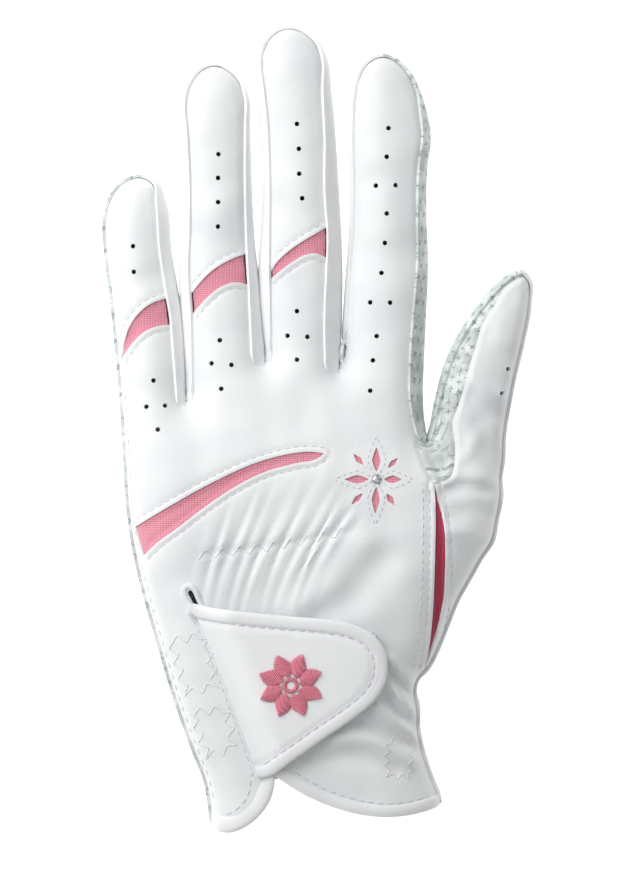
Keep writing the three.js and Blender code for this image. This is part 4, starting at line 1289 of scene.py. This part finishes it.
def make_emblem():
    """An embroidered rosette: satin stitches fill eight petals round a small ring."""
    parts = []
    for k in range(PETAL_COUNT):
        angle = 2 * math.pi * (k + 0.5) / PETAL_COUNT
        along = np.array([math.cos(angle), math.sin(angle)])
        across = np.array([-along[1], along[0]])
        shares = np.linspace(0.05, 0.95, STRAND_COUNT)
        starts, ends = [], []
        for share in shares:
            reach = 2.5 + 6.0 * share
            half = 2.45 * math.sin(math.pi * share ** 0.8) ** 0.75
            for sign, rows in ((-1, starts), (1, ends)):
                place = np.array(EMBLEM) + along * (reach + 0.5 * sign) + across * half * sign
                rows.append(place)
        starts, ends = np.array(starts), np.array(ends)
        lifted = [np.column_stack([rows, tab_top(rows) + 0.12]) for rows in (starts, ends)]
        parts.append(stitch_verts(lifted[0], lifted[1], 0.23, 0.5))
    ring_in, ring_out = circle(EMBLEM, 1.0, 22), circle(EMBLEM, 2.2, 22)
    lifted = [np.column_stack([rows, tab_top(rows) + 0.12]) for rows in (ring_in, ring_out)]
    parts.append(stitch_verts(lifted[0], lifted[1], 0.22, 0.4))
    emblem = make("tab_rosette", parts, SATIN, 0)
    fit(emblem, "tab_emblem", "tab")


def patch(outline, height, thickness, step):
    plan, triangles = triangulate([outline], [], [], step)
    verts = np.column_stack([plan, height(plan)])
    return thicken(verts, vertex_normals(verts, triangles), triangles, thickness)


def rounded_box(centre, size, radius=2.0):
    corners = []
    for k, (sx, sy) in enumerate([(1, 1), (-1, 1), (-1, -1), (1, -1)]):
        middle = np.array(centre) + np.array([sx * (size[0] / 2 - radius), sy * (size[1] / 2 - radius)])
        for step in range(5):
            angle = math.pi / 2 * (k + step / 4)
            corners.append(middle + radius * np.array([math.cos(angle), math.sin(angle)]))
    return np.array(corners)


def make_closure():
    """The hook and the loop tape under the tab, with the hooks' small mushroom heads."""
    loop_outline = rounded_box((4.5, -63), (22, 20))
    loop = make("loop_tape_patch", [patch(loop_outline, lambda p: ground(p)[0] + 1.15, 0.8, HIDDEN_STEP)],
                LOOPS)
    fit(loop, "wrist_loop_patch", "hand")
    hook_outline = rounded_box((6.5, -62), (14, 15))
    parts = [patch(hook_outline, lambda p: tab_height(p) - 0.1, 0.6, HIDDEN_STEP)]
    places = hex_points((0, -69), (13, -55), 1.25)
    places = places[inside(places, rounded_box((6.5, -62), (12.6, 13.6)))]
    heads = np.column_stack([places, tab_height(places) - 0.8])
    parts.append(stitch_verts(heads - [0.3, 0, 0], heads + [0.3, 0, 0], 0.26, -0.2))
    hook = make("hook_tape_patch", parts, HOOKS)
    fit(hook, "hook_patch", "tab")


def make_elastic():
    """The two hidden strips of elastic, under the gathers and inside the palm's heel."""
    line = resample(curve(GATHER_LINE), 1.0)
    centre = np.column_stack([line, ground(line)[0] - 2.3])
    side = np.column_stack([inward_normals(line), np.zeros(len(line))])
    gather = make("gather_elastic_strip", [sweep(centre, side, 2.5, 0.35)], ELASTIC)
    fit(gather, "gather_elastic", "hand")
    line = resample(np.array([[-18.0, -72.0], [8.0, -72.0]]), 1.0)
    centre = np.column_stack([line, palm_surface(line) + 1.5])
    heel = make("heel_elastic_strip", [sweep(centre, np.tile([0.0, 1.0, 0.0], (len(line), 1)), 3.0, 0.35)],
                ELASTIC)
    fit(heel, "heel_elastic", "hand")


def make_crystal():
    """The cut stone in the middle of the flower: a flat top over three rows of facets."""
    base = float(surface(np.array([FLOWER]))[0])
    rings = [(1.45, -0.3, 0.5), (1.5, 0.15, 0.5), (1.05, 0.62, 0.0), (0.6, 0.85, 0.5)]
    sides = 8
    verts = []
    for radius, height, turn in rings:
        angles = 2 * math.pi * (np.arange(sides) + turn) / sides
        verts += [[FLOWER[0] + radius * math.cos(a), FLOWER[1] + radius * math.sin(a), base + height]
                  for a in angles]
    faces = [tuple(reversed(range(sides))), tuple(range(len(verts) - sides, len(verts)))]
    for row in range(0, len(verts) - sides, sides):
        for k in range(sides):
            a, b = row + k, row + (k + 1) % sides
            faces += [(a, b, b + sides), (a, b + sides, a + sides)]
    stone = make("flower_stone", [(np.array(verts), faces)], CRYSTAL, 1)
    fit(stone, "flower_crystal", "hand")


def make_stitches():
    """Every row of stitches on the hand, the fingers and the thumb."""
    hand = [
        stitch_row(beside(curve(WINDOW_TOP, 0.6)[1:], -EDGE_STITCHES), surface),
        stitch_row(beside(curve(WINDOW_BOTTOM, 0.6)[1:], -EDGE_STITCHES), surface),
        stitch_row(beside(LEFT_SEAM, -EDGE_STITCHES), surface),
        stitch_row(beside(LEFT_SEAM, -3.3), surface),
        stitch_row(beside(RIGHT_SEAM, EDGE_STITCHES)[3:-3], surface),
    ]
    for row in PETALS[:4]:
        hand.append(stitch_row(closed_loop(petal_outline(row, 1.3)), surface, 1.7, 1.1, 0.12))
    zigzags = [zigzag_stitches(GATHER_PATH, 1.3, GATHER_PITCH, surface)]
    for corners in FLAP_PATCHES:
        outline = resample(closed_loop(np.array(corners)), 0.5)
        zigzags.append(zigzag_stitches(outline, 1.2, 4.2, surface))
    box = closed_loop(rounded_box((21.3, -86.5), (6.4, 9.5), 1.0))
    zigzags.append(zigzag_stitches(resample(box, 0.5), 0.8, 2.6, surface))
    follow(make("zigzag_stitches", zigzags, PALE_THREAD, 0), "hand")
    cuff = curve(BACK_CUFF, 0.9)
    thumb_row = beside(cuff, 3.1)[3:]
    little_row = beside(cuff, 4.4)[:-2]
    hand.append(stitch_row(thumb_row[thumb_row[:, 0] > NOTCH_X + 5], surface, 2.6, 1.8))
    hand.append(stitch_row(little_row[little_row[:, 0] < NOTCH_X - 4], surface, 2.6, 1.8))
    little = slice(6, SPANS["little"][0])
    hand.append(stitch_row(beside(BACK_SEAM[little], 1.0), surface, 3.0, 1.6, 0.13))
    group = make("hand_stitches", hand, THREAD, 0)
    follow(group, "hand")
    for name, (lower, upper) in BANDS.items():
        region = BACK_SEAM[SPANS[name][0]:SPANS[name][1] + 1]
        paths = [beside(lower, EDGE_STITCHES), beside(upper, -EDGE_STITCHES)]
        rows = [stitch_row(path[inside(path, region)], surface) for path in paths]
        piece = make(name + "_stitches", rows, THREAD, 0)
        follow(piece, name)


# ---- Floor, light and camera -----------------------------------------------------------
PIXEL = 0.265             # millimetres of the glove per pixel of a picture 640 pixels wide
PICTURE = (640, 874)
VIEW_CENTRE = (0.5, -2.0)
LENS = 180.0
SENSOR = 36.0
GLOVE_MIDDLE = 10.0       # height at which the picture's scale is true
SKY_WAY = (0.8, -0.6, 0.0)        # from the sky's bright side to its dark side
# How far a direction goes that way, from -1 to 1, and the sky's strength at those two ends.
SKY = (-1.0, 1.0, 0.88, 0.19)


def make_floor():
    mesh = bpy.data.meshes.new("floor")
    reach = 3.0
    mesh.from_pydata([(-reach, -reach, -0.0004), (reach, -reach, -0.0004), (reach, reach, -0.0004),
                      (-reach, reach, -0.0004)], [], [(0, 1, 2, 3)])
    material = bpy.data.materials.new("floor")
    material.use_nodes = True
    shader = material.node_tree.nodes["Principled BSDF"]
    shader.inputs["Base Color"].default_value = (0.93, 0.93, 0.93, 1)
    shader.inputs["Roughness"].default_value = 0.9
    shader.inputs["Emission Color"].default_value = (1, 1, 1, 1)
    shader.inputs["Emission Strength"].default_value = 0.72
    mesh.materials.append(material)
    floor = bpy.data.objects.new("floor", mesh)
    bpy.context.scene.collection.objects.link(floor)


def make_light(name, place, size, power):
    light = bpy.data.lights.new(name, "AREA")
    light.size = size
    light.energy = power
    lamp = bpy.data.objects.new(name, light)
    lamp.location = place
    lamp.rotation_euler = (Vector((0, 0, 0)) - Vector(place)).to_track_quat("-Z", "Y").to_euler()
    bpy.context.scene.collection.objects.link(lamp)


def make_lights():
    world = bpy.data.worlds.new("studio")
    world.use_nodes = True
    tree = world.node_tree
    tree.nodes["Background"].inputs["Color"].default_value = (1, 1, 1, 1)
    direction = tree.nodes.new("ShaderNodeTexCoord").outputs["Generated"]
    across = tree.nodes.new("ShaderNodeVectorMath")
    across.operation = "DOT_PRODUCT"
    across.inputs[1].default_value = SKY_WAY
    tree.links.new(direction, across.inputs[0])
    strength = tree.nodes.new("ShaderNodeMapRange")
    tree.links.new(across.outputs["Value"], strength.inputs["Value"])
    for socket, value in zip(("From Min", "From Max", "To Min", "To Max"), SKY):
        strength.inputs[socket].default_value = value
    tree.links.new(strength.outputs["Result"], tree.nodes["Background"].inputs["Strength"])
    bpy.context.scene.world = world
    make_light("key", (-0.24, 0.20, 0.33), 0.4, 1.42)
    bpy.context.scene.view_settings.view_transform = "Standard"


def make_camera():
    data = bpy.data.cameras.new("camera")
    data.lens = LENS
    data.sensor_width = SENSOR
    data.clip_end = 20
    camera = bpy.data.objects.new("camera", data)
    distance = PICTURE[1] * PIXEL * LENS / SENSOR
    camera.location = (VIEW_CENTRE[0] * MM, VIEW_CENTRE[1] * MM, (distance + GLOVE_MIDDLE) * MM)
    bpy.context.scene.collection.objects.link(camera)
    bpy.context.scene.camera = camera


make_camera()
make_lights()
make_floor()
make_back()
make_thumb_side()
make_palm()
make_fourchettes()
make_cuff()
make_tab()
make_emblem()
make_closure()
make_elastic()
make_crystal()
make_stitches()
